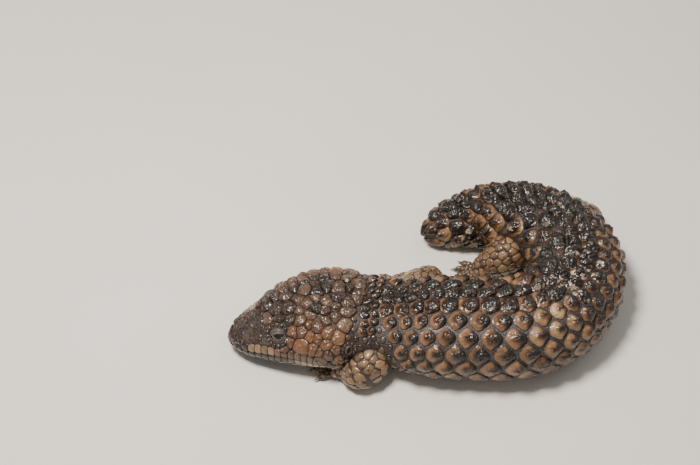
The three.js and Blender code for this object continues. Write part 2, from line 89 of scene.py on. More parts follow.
# The skin's grid: steps between its rows on head and trunk, points round it, and points round a section
# while its girth is measured; then the least that skin counts as stretched, for scales and for scutes
HEAD_STEP, TRUNK_STEP = 0.55, 1.25
BODY_AROUND, SECTION_POINTS = 224, 385
LEAST_STRETCH, LEAST_SCUTE_STRETCH = 0.2, 0.3

# Swellings and hollows of the head: distance, share of the half girth, height, reach along, reach across
HEAD_FORMS = [
    (22, 0.2, 1.3, 8, 0.06),
    (24, 0.305, -1.6, 5.5, 0.05),
    (50, 0.42, 1.4, 10, 0.12),
    (67, 0.46, -1.8, 4.5, 0.16),
    (12, 0.2, -0.6, 6, 0.1),
]
HEAD_FORMS_TO = HEAD_END + 20
JOWL_END = 64
MOUTH_END, MOUTH_SHARE, MOUTH_DROP, MOUTH_WIDTH = 45, 0.48, 0.08, 0.022

# Eyes, ears and nostrils: distance, share of the half girth, and the room that they keep clear of scales
EYE_AT, EYE_SIDE, EYE_ROOM = 24, 0.295, 5.3
EAR_AT, EAR_SIDE, EAR_ROOM = 65.5, 0.44, 2.8
NOSTRIL_AT, NOSTRIL_SIDE, NOSTRIL_ROOM = 5.5, 0.33, 2.4
EYE_DEPTH = 1.5
EYE_ROWS, EYE_AROUND = 36, 48

# Rings of the lids from the eye's opening outwards: half widths along and across, height over the eyeball,
# drop from there, how black the ring is as painted shade in the slit, the groove and where the lid drops
# into the skin, and how pale it is below
LID_AROUND = 64
LID_RINGS = [
    (3.6, 1.35, -0.3, 0, 1, 0), (3.7, 1.45, 0.1, 0, 0.7, 0.2), (3.85, 1.7, 0.4, 0, 0, 0.8),
    (4.05, 2.1, 0.5, 0, 0, 0.5), (4.3, 2.6, 0.3, 0, 0.5, 0), (4.55, 3.2, 0.7, 0, 0, 0),
    (4.8, 3.8, 0.8, 0, 0, 0), (5.1, 4.4, 0.8, 0.3, 0.2, 0), (5.5, 5.0, 0.9, 1.2, 0.5, 0),
]

# Nostrils and ears: distance, share and half widths. The rings round a middle have half widths as shares of
# those and a height, and each row from the middle outwards is as black as the last table says, as painted
# shade inside the opening and where the rim meets the skin
HOLES = ((NOSTRIL_AT, NOSTRIL_SIDE, 0.62, 0.62), (EAR_AT, EAR_SIDE, 0.7, 1.15))
HOLE_AROUND = 32
HOLE_MIDDLE = (0.05, 0.05, 0.15)
HOLE_RINGS = [
    (0.8, 0.8, 0.12), (1.3, 1.3, 0.3), (1.7, 1.6, 0.8), (2.3, 1.95, 1.0), (3.0, 2.3, 0.75), (3.8, 2.7, -0.6),
]
HOLE_SHADE = (1, 1, 0.9, 0.3, 0, 0, 0.3)

# Lines of scutes on each flank as shares of the half girth, their pitch at the mid trunk measured where
# the flank is widest, how close together they stand, how far the back's midline leans over to one side
# and how high they rise along the body
SCUTE_SHARES = (0.11, 0.215, 0.32, 0.425, 0.53, 0.625)
SCUTE_PITCH, MIDLINE_PITCH = 12, 10
WIDEST_SHARE = 0.42
SCUTES_FROM, SCUTES_TO = 78, 296
SCUTE_CLOSENESS = [
    (78, 0.62), (92, 0.66), (105, 0.78), (120, 0.98), (146, 1), (168, 0.86), (190, 0.78), (300, 0.74),
]
MIDLINE = [
    (78, 0.03), (100, 0.1), (130, 0.13), (160, 0.11), (190, 0.03), (220, -0.03), (262, -0.08), (300, -0.08),
]
SCUTE_RISE = [(78, 1.6), (92, 2.0), (112, 2.5), (170, 2.8), (250, 2.7), (300, 2.1)]

# How much less the lowest scutes rise, how far each is off its even place along the body in millimetres and
# round it as a share, and how far round they can be pushed
LOW_RISE, LOW_SHARE = 0.4, 0.62
OFF_ALONG, OFF_ROUND = 0.3, 0.006
FARTHEST_SHARE = 0.66

# The closer scutes of the back and the tail, and the slanting line behind the shoulder where scutes begin
BACK_SHARE = 0.2
TAIL_FROM = 236
SHOULDER_FROM, SHOULDER_SHARE, SHOULDER_LEAN = 85, 0.28, 65

# Plates that edge the mouth: kind, distance from its line towards the belly, radius and height
LIP_PITCH = 3.6
LIPS = (("lip", -2.1, 1.8, 0.7), ("lower_lip", 1.9, 1.7, 0.5))

# Legs: joints as distance along the body, distance to the right and height, and each joint's radius
LEGS = {
    "front_left": ([(84, -13, 15), (74.5, -27.5, 10), (64, -25, 6), (59, -23.5, 4)], (10, 9.5, 6, 4.5)),
    "front_right": ([(90, 18, 16), (100, 34, 11), (88, 35, 5.5), (83, 33, 4)], (11, 8, 5.5, 4.5)),
    "hind_left": ([(240, -13, 15), (227, -28, 10.5), (242, -29, 6), (249, -28, 4)], (12, 9.5, 6.5, 4.5)),
    "hind_right": ([(240, 12, 15), (248, 22.5, 10.5), (264, 27, 6), (270, 28, 4)], (12, 10, 6.5, 4.5)),
}
LEG_ROWS = 64

# The palm beyond the last joint, and how much wider and flatter than the leg the foot is
PALM_LENGTH, PALM_ROWS, PALM_TAPER = 5, 8, 0.9
FOOT_WIDER, FOOT_FLATTER, FOOT_FROM = 0.3, 0.38, (0.55, 0.95)

# Toes: lengths, radius, how it shrinks, how far they arch, the oval round the palm that they grow from, the
# angle between two in degrees, and how much of it their own directions take up
TOE_LENGTHS = (6.5, 8.5, 9.5, 9, 7)
TOE_RADIUS, TOE_TAPER, TOE_ARCH = 2, 0.28, 0.9
TOE_OVAL, TOE_SPREAD, TOE_TURN = (5, 4.5), 27, 0.9
TOE_ROOT, TOE_ROWS, TOE_AROUND = 2, 22, 24

# Claws: root in the toe, radius at the root and how much it loses, level, arch and drop towards the tip
CLAW_ROOT, CLAW_RADIUS, CLAW_TAPER = 1.6, 1.05, 0.92
CLAW_LEVEL, CLAW_ARCH, CLAW_DROP, CLAW_FLOOR = 1.7, 0.9, 1.5, 0.1
CLAW_ROWS, CLAW_AROUND = 12, 14

# One start for each kind of random draw
COLOUR_SEED, PATCH_SEED, LIP_SEED, EYE_SEED, EAR_SEED, LEG_SEED, TOE_SEED = 8, 12, 21, 22, 23, 51, 71

# Softboxes' places from the point looked at and sizes, in metres, and the colours of the light
KEY_PLACE, KEY_SIZE = (-0.2, -0.1, 0.8), 0.22
FILL_PLACE, FILL_SIZE = (0.8, 0.5, 1.0), 1.2
LAMP_COLOUR = (1.0, 0.93, 0.84)
ROOM_COLOUR = (1.0, 0.97, 0.93, 1)


def smooth(table, x, column=1):
    """A smooth curve through a table's rows, read at every x."""
    rows = np.array(table, float)
    at, values = rows[:, 0], rows[:, column]
    x = np.clip(x, at[0], at[-1])
    slope = np.empty(len(at))
    slope[1:-1] = (values[2:] - values[:-2]) / (at[2:] - at[:-2])
    slope[0] = (values[1] - values[0]) / (at[1] - at[0])
    slope[-1] = (values[-1] - values[-2]) / (at[-1] - at[-2])
    i = np.clip(np.searchsorted(at, x, side="left") - 1, 0, len(at) - 2)
    step = at[i + 1] - at[i]
    t = (x - at[i]) / step
    return (
        (2 * t**3 - 3 * t**2 + 1) * values[i]
        + (t**3 - 2 * t**2 + t) * step * slope[i]
        + (3 * t**2 - 2 * t**3) * values[i + 1]
        + (t**3 - t**2) * step * slope[i + 1]
    )


def unit(vectors):
    """Vectors brought to a length of 1."""
    return vectors / np.maximum(np.linalg.norm(vectors, axis=-1, keepdims=True), 1e-12)


def step_between(low, high, x):
    """0 below low, 1 above high, and a smooth step between."""
    t = np.clip((x - low) / (high - low), 0, 1)
    return t * t * (3 - 2 * t)


def band(x, *levels):
    """0 below the first of four levels and above the last, 1 between the inner two, with smooth steps."""
    return step_between(*levels[:2], x) * (1 - step_between(*levels[2:], x))


def round_end(share):
    """How wide a round end is at a share of its depth from the tip."""
    return np.sqrt(np.maximum(0, 1 - (1 - np.minimum(share, 1)) ** 2))


def shares_round(around):
    """Shares of the half girth for even steps round a skin, from -1 to just below 1."""
    return -1 + 2 * np.arange(around) / around


# The spine on the floor, in steps of one millimetre, with its point under ORIGIN_AT at the origin
spine_headings = np.radians(smooth(BEND, np.arange(1, LENGTH + 2) - 0.5))
spine_steps = np.stack([np.cos(spine_headings), np.sin(spine_headings)], -1)
SPINE = np.concatenate([np.zeros((1, 2)), np.cumsum(spine_steps, axis=0)])
SPINE = SPINE - SPINE[ORIGIN_AT]


def place(s, side, height):
    """Points at distances along the body, distances to its right-hand side and heights."""
    s, side, height = np.broadcast_arrays(np.asarray(s, float), side, height)
    i = np.clip(np.floor(s).astype(int), 0, LENGTH)
    a, t = np.radians(smooth(BEND, s)), s - i
    x = SPINE[i, 0] + np.cos(a) * t - np.sin(a) * side
    y = SPINE[i, 1] + np.sin(a) * t + np.cos(a) * side
    return np.stack([x, y, height], -1)


def section_points(s, angle):
    """The skin's side and height at distances along the body and angles from the top."""
    rise = smooth(SCALE_RISE, s)
    half, top = smooth(FORM, s, 1) - rise, smooth(FORM, s, 2) - rise
    bottom, widest = smooth(FORM, s, 3), smooth(FORM, s, 4)
    rounding = round_end(s / SNOUT_ROUND) * round_end((LENGTH - s) / TAIL_ROUND)
    across, up = np.sin(angle), np.cos(angle)
    full = 1 + (FULLNESS + FULLNESS * up) * np.sin(2 * angle) ** 2
    press = np.where(across > 0, 1 - smooth(INNER_PRESS, s), 1)
    side = half * rounding * across * full * press
    lift = ((top - bottom) / 2 * up + ((top + bottom) / 2 - widest) * up * up) * rounding * full
    roll = np.radians(smooth(HEAD_ROLL, s))
    height = widest + lift * np.cos(roll) - side * np.sin(roll)
    return side * np.cos(roll) + lift * np.sin(roll), np.maximum(height, 0)


def head_form(s, share):
    """How far the head's skin stands out from its plain form."""
    total = np.zeros(np.broadcast(s, share).shape)
    for at, side, height, along, across in HEAD_FORMS:
        far = ((s - at) / along) ** 2 + ((np.abs(share) - side) / across) ** 2
        total += height * np.exp(-far)
    return np.where(s < HEAD_FORMS_TO, total, 0)


def from_midline(s, share):
    """A share of the half girth measured from the midline of the leaning back, as one from the top."""
    lean = smooth(MIDLINE, s)
    return lean + share * (1 - np.sign(share) * lean)


def off_midline(s, share):
    """How far a share of the half girth from the top lies from the leaning back's midline, at least 0."""
    lean = smooth(MIDLINE, s) * step_between(60, 80, s)
    return np.abs(share - lean) / (1 - np.sign(share - lean) * lean)


def mouth_share(s):
    """Where the line of the mouth lies, as a share of the half girth from the top."""
    return MOUTH_SHARE + MOUTH_DROP * (s / MOUTH_END) ** 2


def shield_edge(s):
    """How far down the head's shields go: to the mouth, and behind it up round the jowl."""
    if s < MOUTH_END + 2:
        return mouth_share(s) - 0.03
    return 0.62 - 0.42 * step_between(JOWL_END - 6, JOWL_END + 4, s)


class Sheet:
    """A closed skin over a grid: a runs along it, b from -1 to 1 round it."""

    def __init__(self, a, points):
        self.a = a
        self.around = points.shape[1]
        self.points = points
        along = np.gradient(points, a, axis=0)
        wrapped = np.concatenate([points[:, -1:], points, points[:, :1]], axis=1)
        across = (wrapped[:, 2:] - wrapped[:, :-2]) / (4 / self.around)
        self.along, self.across = along, across
        self.normals = unit(np.cross(along, across))

    def lifted(self, heights):
        """The same skin with each grid point moved out along its normal."""
        return Sheet(self.a, self.points + self.normals * heights[..., None])

    def read(self, grid, a, b):
        """A grid of values read between its points."""
        rows = np.interp(a, self.a, np.arange(len(self.a)))
        columns = ((b + 1) / 2 % 1) * self.around
        i = np.minimum(rows.astype(int), len(self.a) - 2)
        j = columns.astype(int) % self.around
        k = (j + 1) % self.around
        u, v = (rows - i)[..., None], (columns - np.floor(columns))[..., None]
        low = grid[i, j] * (1 - v) + grid[i, k] * v
        high = grid[i + 1, j] * (1 - v) + grid[i + 1, k] * v
        return low * (1 - u) + high * u

    def frames(self, a, b):
        """Places, normals and the directions along and across, with the skin's stretch in each."""
        along, across = self.read(self.along, a, b), self.read(self.across, a, b)
        stretch = np.linalg.norm(along, axis=-1), np.linalg.norm(across, axis=-1)
        points, normals = self.read(self.points, a, b), unit(self.read(self.normals, a, b))
        return points, normals, unit(along), unit(across), stretch

    def spot(self, a, b):
        """One place, its normal and direction along, and the skin's stretch along and across."""
        point, normal, along, _, stretch = self.frames(np.array([float(a)]), np.array([float(b)]))
        return point[0], normal[0], along[0], (stretch[0][0], stretch[1][0])

    def measures(self, a):
        """Half the length round the skin at a, and how far the skin goes there for each step of a."""
        at, b = np.full(self.around, float(a)), shares_round(self.around)
        ring, along = self.read(self.points, at, b), self.read(self.along, at, b)
        girth = np.linalg.norm(ring - np.roll(ring, 1, axis=0), axis=-1).sum()
        return girth / 2, max(np.linalg.norm(along, axis=-1).mean(), LEAST_STRETCH)


def body_sheet():
    """The whole body from snout to tail tip, with the head's forms, by shares of the half girth."""
    nose = SNOUT_ROUND * (1 - np.cos(np.linspace(0.03, np.pi / 2, 24)))
    tail = LENGTH - TAIL_ROUND * (1 - np.cos(np.linspace(np.pi / 2, 0.12, 22)))
    head = np.arange(SNOUT_ROUND + HEAD_STEP, HEAD_END + 12, HEAD_STEP)
    trunk = np.arange(HEAD_END + 12.8, LENGTH - TAIL_ROUND - 0.4, TRUNK_STEP)
    a = np.concatenate([nose, head, trunk, tail])
    fine = np.linspace(-np.pi, np.pi, SECTION_POINTS)
    side, height = section_points(a[:, None], fine[None, :])
    shares = shares_round(BODY_AROUND)
    points = np.empty((len(a), BODY_AROUND, 3))
    for i, s in enumerate(a):
        steps = np.hypot(np.diff(side[i]), np.diff(height[i]))
        length = np.concatenate([[0], np.cumsum(steps)])
        length -= length[SECTION_POINTS // 2]
        share = np.where(length < 0, length / -length[0], length / length[-1])
        angle = np.interp(shares, share, fine)
        points[i] = place(s, *section_points(np.full(BODY_AROUND, s), angle))
    body = Sheet(a, points).lifted(head_form(a[:, None], shares[None, :]))
    body.points[..., 2] = np.maximum(body.points[..., 2], BELLY_LEVEL)
    return body


def curve_points(joints, count):
    """Points on a smooth curve through the joints, with the joints' own numbers carried along."""
    rows = np.array(joints, float)
    t = np.linspace(0, len(rows) - 1, count)
    table = np.column_stack([np.arange(len(rows)), rows])
    return np.stack([smooth(table, t, c + 1) for c in range(rows.shape[1])], -1)


def tube_sheet(centres, radii, flatten, around=40, ends=(0.8, 1.0), floor=BELLY_LEVEL):
    """A round skin along centres, lower than wide by flatten, its ends rounded over shares of the radius."""
    steps = np.linalg.norm(np.diff(centres, axis=0), axis=-1)
    a = np.concatenate([[0], np.cumsum(steps)])
    tangent = unit(np.gradient(centres, a, axis=0))
    level = unit(np.cross(tangent, [0.0, 0, 1]))
    up = np.cross(level, tangent)
    first = round_end(a / max(radii[0] * ends[0], 0.1))
    last = round_end((a[-1] - a) / max(radii[-1] * ends[1], 0.1))
    radius = radii * np.maximum(first * last, 0.02)
    angle = np.pi * shares_round(around)
    ring = -np.sin(angle)[None, :, None] * level[:, None]
    rise = np.cos(angle)[None, :, None] * up[:, None] * flatten[:, None, None]
    points = centres[:, None] + (ring + rise) * radius[:, None, None]
    points[..., 2] = np.maximum(points[..., 2], floor)
    return Sheet(a, points)


def dome_sheet(centre, out, along, rows, around):
    """A skin of oval rings about an axis: each row gives two half widths and the heights of its ring."""
    across = np.cross(out, along)
    turn = 2 * np.pi * np.arange(around) / around
    points = []
    for x, y, height in rows:
        height = height(x * np.cos(turn), y * np.sin(turn)) if callable(height) else np.full(around, height)
        flat_ring = np.cos(turn)[:, None] * x * along + np.sin(turn)[:, None] * y * across
        points.append(centre + flat_ring + height[:, None] * out)
    return Sheet(np.arange(len(rows), dtype=float), np.array(points))


class Limb:
    """A leg from its root in the body to the palm, with its toes."""

    def __init__(self, name, joints, radii):
        self.name = name
        self.joints = np.array([place(*joint) for joint in joints])
        path = curve_points(np.column_stack([self.joints, radii]), LEG_ROWS)
        forward = unit(self.joints[3] - self.joints[2])
        palm = np.linspace(self.joints[3], self.joints[3] + forward * PALM_LENGTH, PALM_ROWS + 1)[1:]
        palm_radii = np.linspace(radii[3], radii[3] * PALM_TAPER, PALM_ROWS)
        self.centres = np.concatenate([path[:, :3], palm])
        self.radii = np.concatenate([path[:, 3], palm_radii])
        foot = step_between(*FOOT_FROM, np.linspace(0, 1, len(self.radii)))
        self.sheet = tube_sheet(self.centres, self.radii * (1 + FOOT_WIDER * foot), 1 - FOOT_FLATTER * foot)
        self.toes = [self.toe(i, forward) for i in range(len(TOE_LENGTHS))]

    def toe(self, index, forward):
        """A toe's skin, and the place and direction from which its claw grows."""
        heading = math.atan2(forward[1], forward[0])
        spread = math.radians((index - len(TOE_LENGTHS) // 2) * TOE_SPREAD)
        turned = heading + spread * TOE_TURN
        out = np.array([math.cos(turned), math.sin(turned), 0])
        oval = [math.cos(heading + spread) * TOE_OVAL[0], math.sin(heading + spread) * TOE_OVAL[1], 0]
        along = np.linspace(-TOE_ROOT, TOE_LENGTHS[index], TOE_ROWS)
        centres = self.joints[3] + np.array(oval) + out * along[:, None]
        centres[:, 2] = TOE_RADIUS * 1.05 + TOE_ARCH * np.sin(np.linspace(0.5, math.pi, TOE_ROWS))
        radii = TOE_RADIUS * (1 - TOE_TAPER * step_between(0.3, 1, np.linspace(0, 1, TOE_ROWS)))
        sheet = tube_sheet(centres, radii, np.ones(TOE_ROWS), TOE_AROUND, (0.8, 0.9))
        return {"sheet": sheet, "tip": centres[-1], "out": out}

    def depth(self, points):
        """How far points lie outside the limb's skin: less than 0 inside it."""
        gaps = np.linalg.norm(points[..., None, :] - self.centres, axis=-1) - self.radii
        return gaps.min(-1)


def claw_sheet(toe, length):
    """A claw's skin at the end of a toe, and how far towards the tip each of its rows is."""
    t = np.linspace(0, 1, CLAW_ROWS)
    centres = toe["tip"] + toe["out"] * (t[:, None] * (length + 1) - CLAW_ROOT)
    centres[:, 2] = CLAW_LEVEL + CLAW_ARCH * np.sin(t * 2.2) - CLAW_DROP * t**2
    radii = CLAW_RADIUS - CLAW_TAPER * t**0.9
    return tube_sheet(centres, radii, np.full(CLAW_ROWS, 0.9), CLAW_AROUND, (0.5, 0.6), CLAW_FLOOR), t


class Shape:
    """Points, quads, triangles, and named values and patches on them, gathered for one piece."""

    def __init__(self):
        self.points, self.quads, self.triangles, self.values, self.patches = [], [], [], [], []
        self.count = 0

    def add(self, points, quads, triangles, patches, **values):
        points = np.asarray(points, float).reshape(-1, 3)
        self.points.append(points)
        self.quads.append(np.asarray(quads, int).reshape(-1, 4) + self.count)
        self.triangles.append(np.asarray(triangles, int).reshape(-1, 3) + self.count)
        self.patches.append(np.asarray(patches, float).reshape(-1, 2))
        self.values.append({k: np.broadcast_to(v, len(points)) for k, v in values.items()})
        self.count += len(points)

    def piece(self, name, material, slot, *nodes):
        """The gathered mesh as an object that rides on the body and stands for the given nodes."""
        points = np.concatenate(self.points) * MM
        quads, triangles = np.concatenate(self.quads), np.concatenate(self.triangles)
        corners = np.concatenate([quads.ravel(), triangles.ravel()])
        sizes = np.concatenate([np.full(len(quads), 4), np.full(len(triangles), 3)])
        mesh = bpy.data.meshes.new(name)
        mesh.vertices.add(len(points))
        mesh.vertices.foreach_set("co", points.astype(np.float32).ravel())
        mesh.loops.add(len(corners))
        mesh.loops.foreach_set("vertex_index", corners.astype(np.int32))
        mesh.polygons.add(len(sizes))
        starts = np.concatenate([[0], np.cumsum(sizes)[:-1]])
        mesh.polygons.foreach_set("loop_start", starts.astype(np.int32))
        mesh.update(calc_edges=True)
        patches = np.concatenate(self.patches)
        layer = mesh.uv_layers.new(name="OFBake")
        layer.data.foreach_set("uv", patches[corners].astype(np.float32).ravel())
        for key in self.values[0]:
            value = np.concatenate([values[key] for values in self.values])
            mesh.attributes.new(key, "FLOAT", "POINT").data.foreach_set("value", value.astype(np.float32))
        mesh.shade_smooth()
        mesh.validate()
        mesh.materials.append(material)
        thing = bpy.data.objects.new(name, mesh)
        bpy.context.scene.collection.objects.link(thing)
        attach(thing, BODY)
        if nodes:
            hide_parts(*nodes)


def skin_faces(rows, around):
    """Quads between the rings of a sheet's grid, and a fan over each end."""
    i, j = np.meshgrid(np.arange(rows - 1), np.arange(around), indexing="ij")
    k = (j + 1) % around
    quads = np.stack([i * around + j, (i + 1) * around + j, (i + 1) * around + k, i * around + k], -1)
    first, last, ends = rows * around, rows * around + 1, (rows - 1) * around
    j = np.arange(around)
    k = (j + 1) % around
    fans = [
        np.stack([np.full(around, first), j, k], -1),
        np.stack([np.full(around, last), ends + k, ends + j], -1),
    ]
    return quads.reshape(-1, 4), np.concatenate(fans)


def add_skin(shape, sheet, patch_box, **values):
    """A sheet's whole skin, closed at its ends, on its own part of the unwrap."""
    rows, around = sheet.points.shape[:2]
    points = sheet.points.reshape(-1, 3)
    ends = np.stack([sheet.points[0].mean(0), sheet.points[-1].mean(0)])
    a = (sheet.a - sheet.a[0]) / (sheet.a[-1] - sheet.a[0])
    u, v = np.meshgrid(a, np.arange(around) / around, indexing="ij")
    patches = np.concatenate([np.stack([u.ravel(), v.ravel()], -1), [[0, 0.5], [1, 0.5]]])
    low, size = np.array(patch_box[:2]), np.array(patch_box[2:])
    padded = {k: np.concatenate([np.broadcast_to(x, len(points)), [0, 0]]) for k, x in values.items()}
    shape.add(np.concatenate([points, ends]), *skin_faces(rows, around), low + patches * size, **padded)


def ripple(points, wave, seed):
    """Smooth bumps between -1 and 1 all through space, with a given wave length."""
    draw = np.random.default_rng(seed)
    total = np.zeros(points.shape[:-1])
    for _ in range(7):
        direction = unit(draw.normal(size=3))
        waves = 2 * np.pi / wave * draw.uniform(0.7, 1.4)
        total += np.sin(points @ direction * waves + draw.uniform(0, 6.3))
    return total / 3.2


def keeled(r, angle, u, height):
    """A body scale: rising from its front edge to a blunt rear wall, with a low ridge along it."""
    rear = np.maximum(np.cos(angle), 0) ** 1.5
    rim = 0.25 + 0.3 * height * rear
    ramp = 0.45 + 0.55 * step_between(-1, 0.4, u)
    ridge = 0.8 + 0.2 * np.exp(-((r * np.sin(angle) / 0.38) ** 2))
    return rim + (height - rim) * (1 - r ** (2.1 + 4.2 * rear)) * ramp * ridge


def domed(r, angle, u, height):
    """A head shield: convex all over, with a low rim."""
    return height * (0.36 + 0.64 * (1 - r**2.4) ** 0.85) + 0 * u


def flat(r, angle, u, height):
    """A smooth scale of the belly, throat or legs, a little higher behind."""
    return height * (0.55 + 0.45 * (1 - r**3)) * (1 + 0.25 * u)


class Kind(NamedTuple):
    """One kind of scale: its form, how finely it is drawn and how near its neighbours it stands."""

    profile: Callable
    rings: int
    spokes: int
    sharpness: float  # how angular its outline is
    reach: float  # its furthest reach, over its nominal radius
    sink: float  # how deep its rim goes into the skin
    gap: float  # between it and its neighbours
    rough: float = 0.0  # how uneven its top is
    lean: float = 0.0  # how far it leans out over the next one behind
    crowding: float = 0.66  # how near it may be to an earlier one, as a share of their sizes together
    squeeze: float = 1.0  # shortens distances across the body where neighbours share the room


KINDS = {
    "scute": Kind(keeled, 10, 32, 7, 1.5, 1.0, 1.1, 0.26, 0.2, squeeze=0.81),
    "back": Kind(keeled, 10, 32, 10, 1.5, 1.0, 0.35, 0.34, 0.22, squeeze=0.92),
    "nape": Kind(keeled, 7, 22, 8, 1.4, 0.8, 0.4, 0.2, 0.14),
    "shield": Kind(domed, 8, 26, 11, 1.9, 0.8, 0.04, 0.34),
    "lip": Kind(flat, 5, 20, 12, 1.5, 0.6, 0.12, 0.03, crowding=0.55),
    "lower_lip": Kind(flat, 5, 20, 12, 1.5, 0.6, 0.16, 0.03, crowding=0.55),
    "orbital": Kind(domed, 4, 12, 6, 1.2, 0.5, 0.2, crowding=0.8),
    "granule": Kind(domed, 3, 10, 6, 1.2, 0.5, 0.35, crowding=1.02),
    "throat": Kind(flat, 4, 14, 8, 1.25, 0.4, 0.3),
    "belly": Kind(flat, 4, 16, 8, 1.25, 0.4, 0.5),
    "leg": Kind(domed, 5, 16, 10, 1.5, 0.6, 0.18, 0.06),
    "toe": Kind(domed, 3, 10, 8, 1.25, 0.3, 0.2),
}
NEIGHBOURS = 14
RING_EASE = 0.75
ROUGH_WAVE, ROUGH_SEED, ROUGH_SHIFT = 2.2, 5, 37
FLOOR_LEVEL = 0.06
PATCH_SHARE = 0.94

# Even fields of scales: kind, from where to where, between which shares of the half girth, pitch, height and
# seed, then the scatter and the range of sizes where they differ from the usual ones
LATTICES = [
    ("shield", 1.5, 17, 0.0, shield_edge, 7.4, 1.1, 29, 0.06, (0.95, 1.1)),
    ("shield", 17, HEAD_END, 0.03, shield_edge, 6.0, 2.0, 31, 0.2, (0.62, 1.4)),
    ("nape", HEAD_END + 1, SCUTES_FROM + 2, 0.02, 0.3, 4.6, 1.5, 33),
    ("granule", JOWL_END - 2, NECK_END + 6, 0.2, 0.7, 2.9, 0.8, 35),
    ("throat", 0.5, NECK_END, 0.6, 0.99, 4.4, 0.45, 37),
    ("belly", NECK_END, LENGTH - 3, 0.655, 0.985, 6.6, 0.5, 39, 0.08),
    ("granule", HEAD_END, LENGTH - 2, 0.02, 0.7, 3.4, 0.7, 41),
]


class Sites:
    """Where scales grow on a sheet: place, nominal radius, height, and a draw that sets each apart."""

    def __init__(self, sheet):
        self.sheet = sheet
        self.rows = []

    def add(self, kind, a, b, size, height, draw):
        self.rows.append((kind, float(a), float(b), float(size), float(height), float(draw)))

    def close(self, keep_out=()):
        """Drops sites that are inside something or too near an earlier one, and measures the rest."""
        kinds = np.array([row[0] for row in self.rows])
        table = np.array([row[1:] for row in self.rows])
        points = self.sheet.read(self.sheet.points, table[:, 0], table[:, 1])
        kept = np.ones(len(table), bool)
        for outside in keep_out:
            kept &= outside(points)
        kinds, table, points = kinds[kept], table[kept], points[kept]
        chosen = []
        for i in range(len(table)):
            far = np.linalg.norm(points[chosen] - points[i], axis=-1)
            if not (far < KINDS[kinds[i]].crowding * (table[chosen, 2] + table[i, 2])).any():
                chosen.append(i)
        self.kind, table = kinds[chosen], table[chosen]
        self.a, self.b, self.size, self.height, self.draw = table.T
        self.points, self.normal, self.along, self.across, self.stretch = self.sheet.frames(self.a, self.b)

    def edges(self):
        """For each site, the directions and distances of the edges it shares with its neighbours."""
        number, block = len(self.a), 400
        count = min(NEIGHBOURS, number - 1)
        nearest = np.empty((number, count), int)
        for start in range(0, number, block):
            far = np.linalg.norm(self.points[start : start + block, None] - self.points[None], axis=-1)
            nearest[start : start + block] = np.argsort(far, axis=1)[:, 1 : count + 1]
        apart = self.points[nearest] - self.points[:, None]
        u = (apart * self.along[:, None]).sum(-1)
        v = (apart * self.across[:, None]).sum(-1)
        bent = np.linalg.norm(apart, axis=-1) / np.maximum(np.hypot(u, v), 1e-6)
        v = v * np.array([KINDS[kind].squeeze for kind in self.kind])[:, None]
        level = np.maximum(np.hypot(u, v), 1e-6)
        share = self.size[:, None] / (self.size[:, None] + self.size[nearest])
        gap = np.array([KINDS[kind].gap for kind in self.kind])[:, None]
        reach = np.maximum(level * bent * share - gap / 2, 0.3)
        return np.stack([u / level, v / level], -1), reach


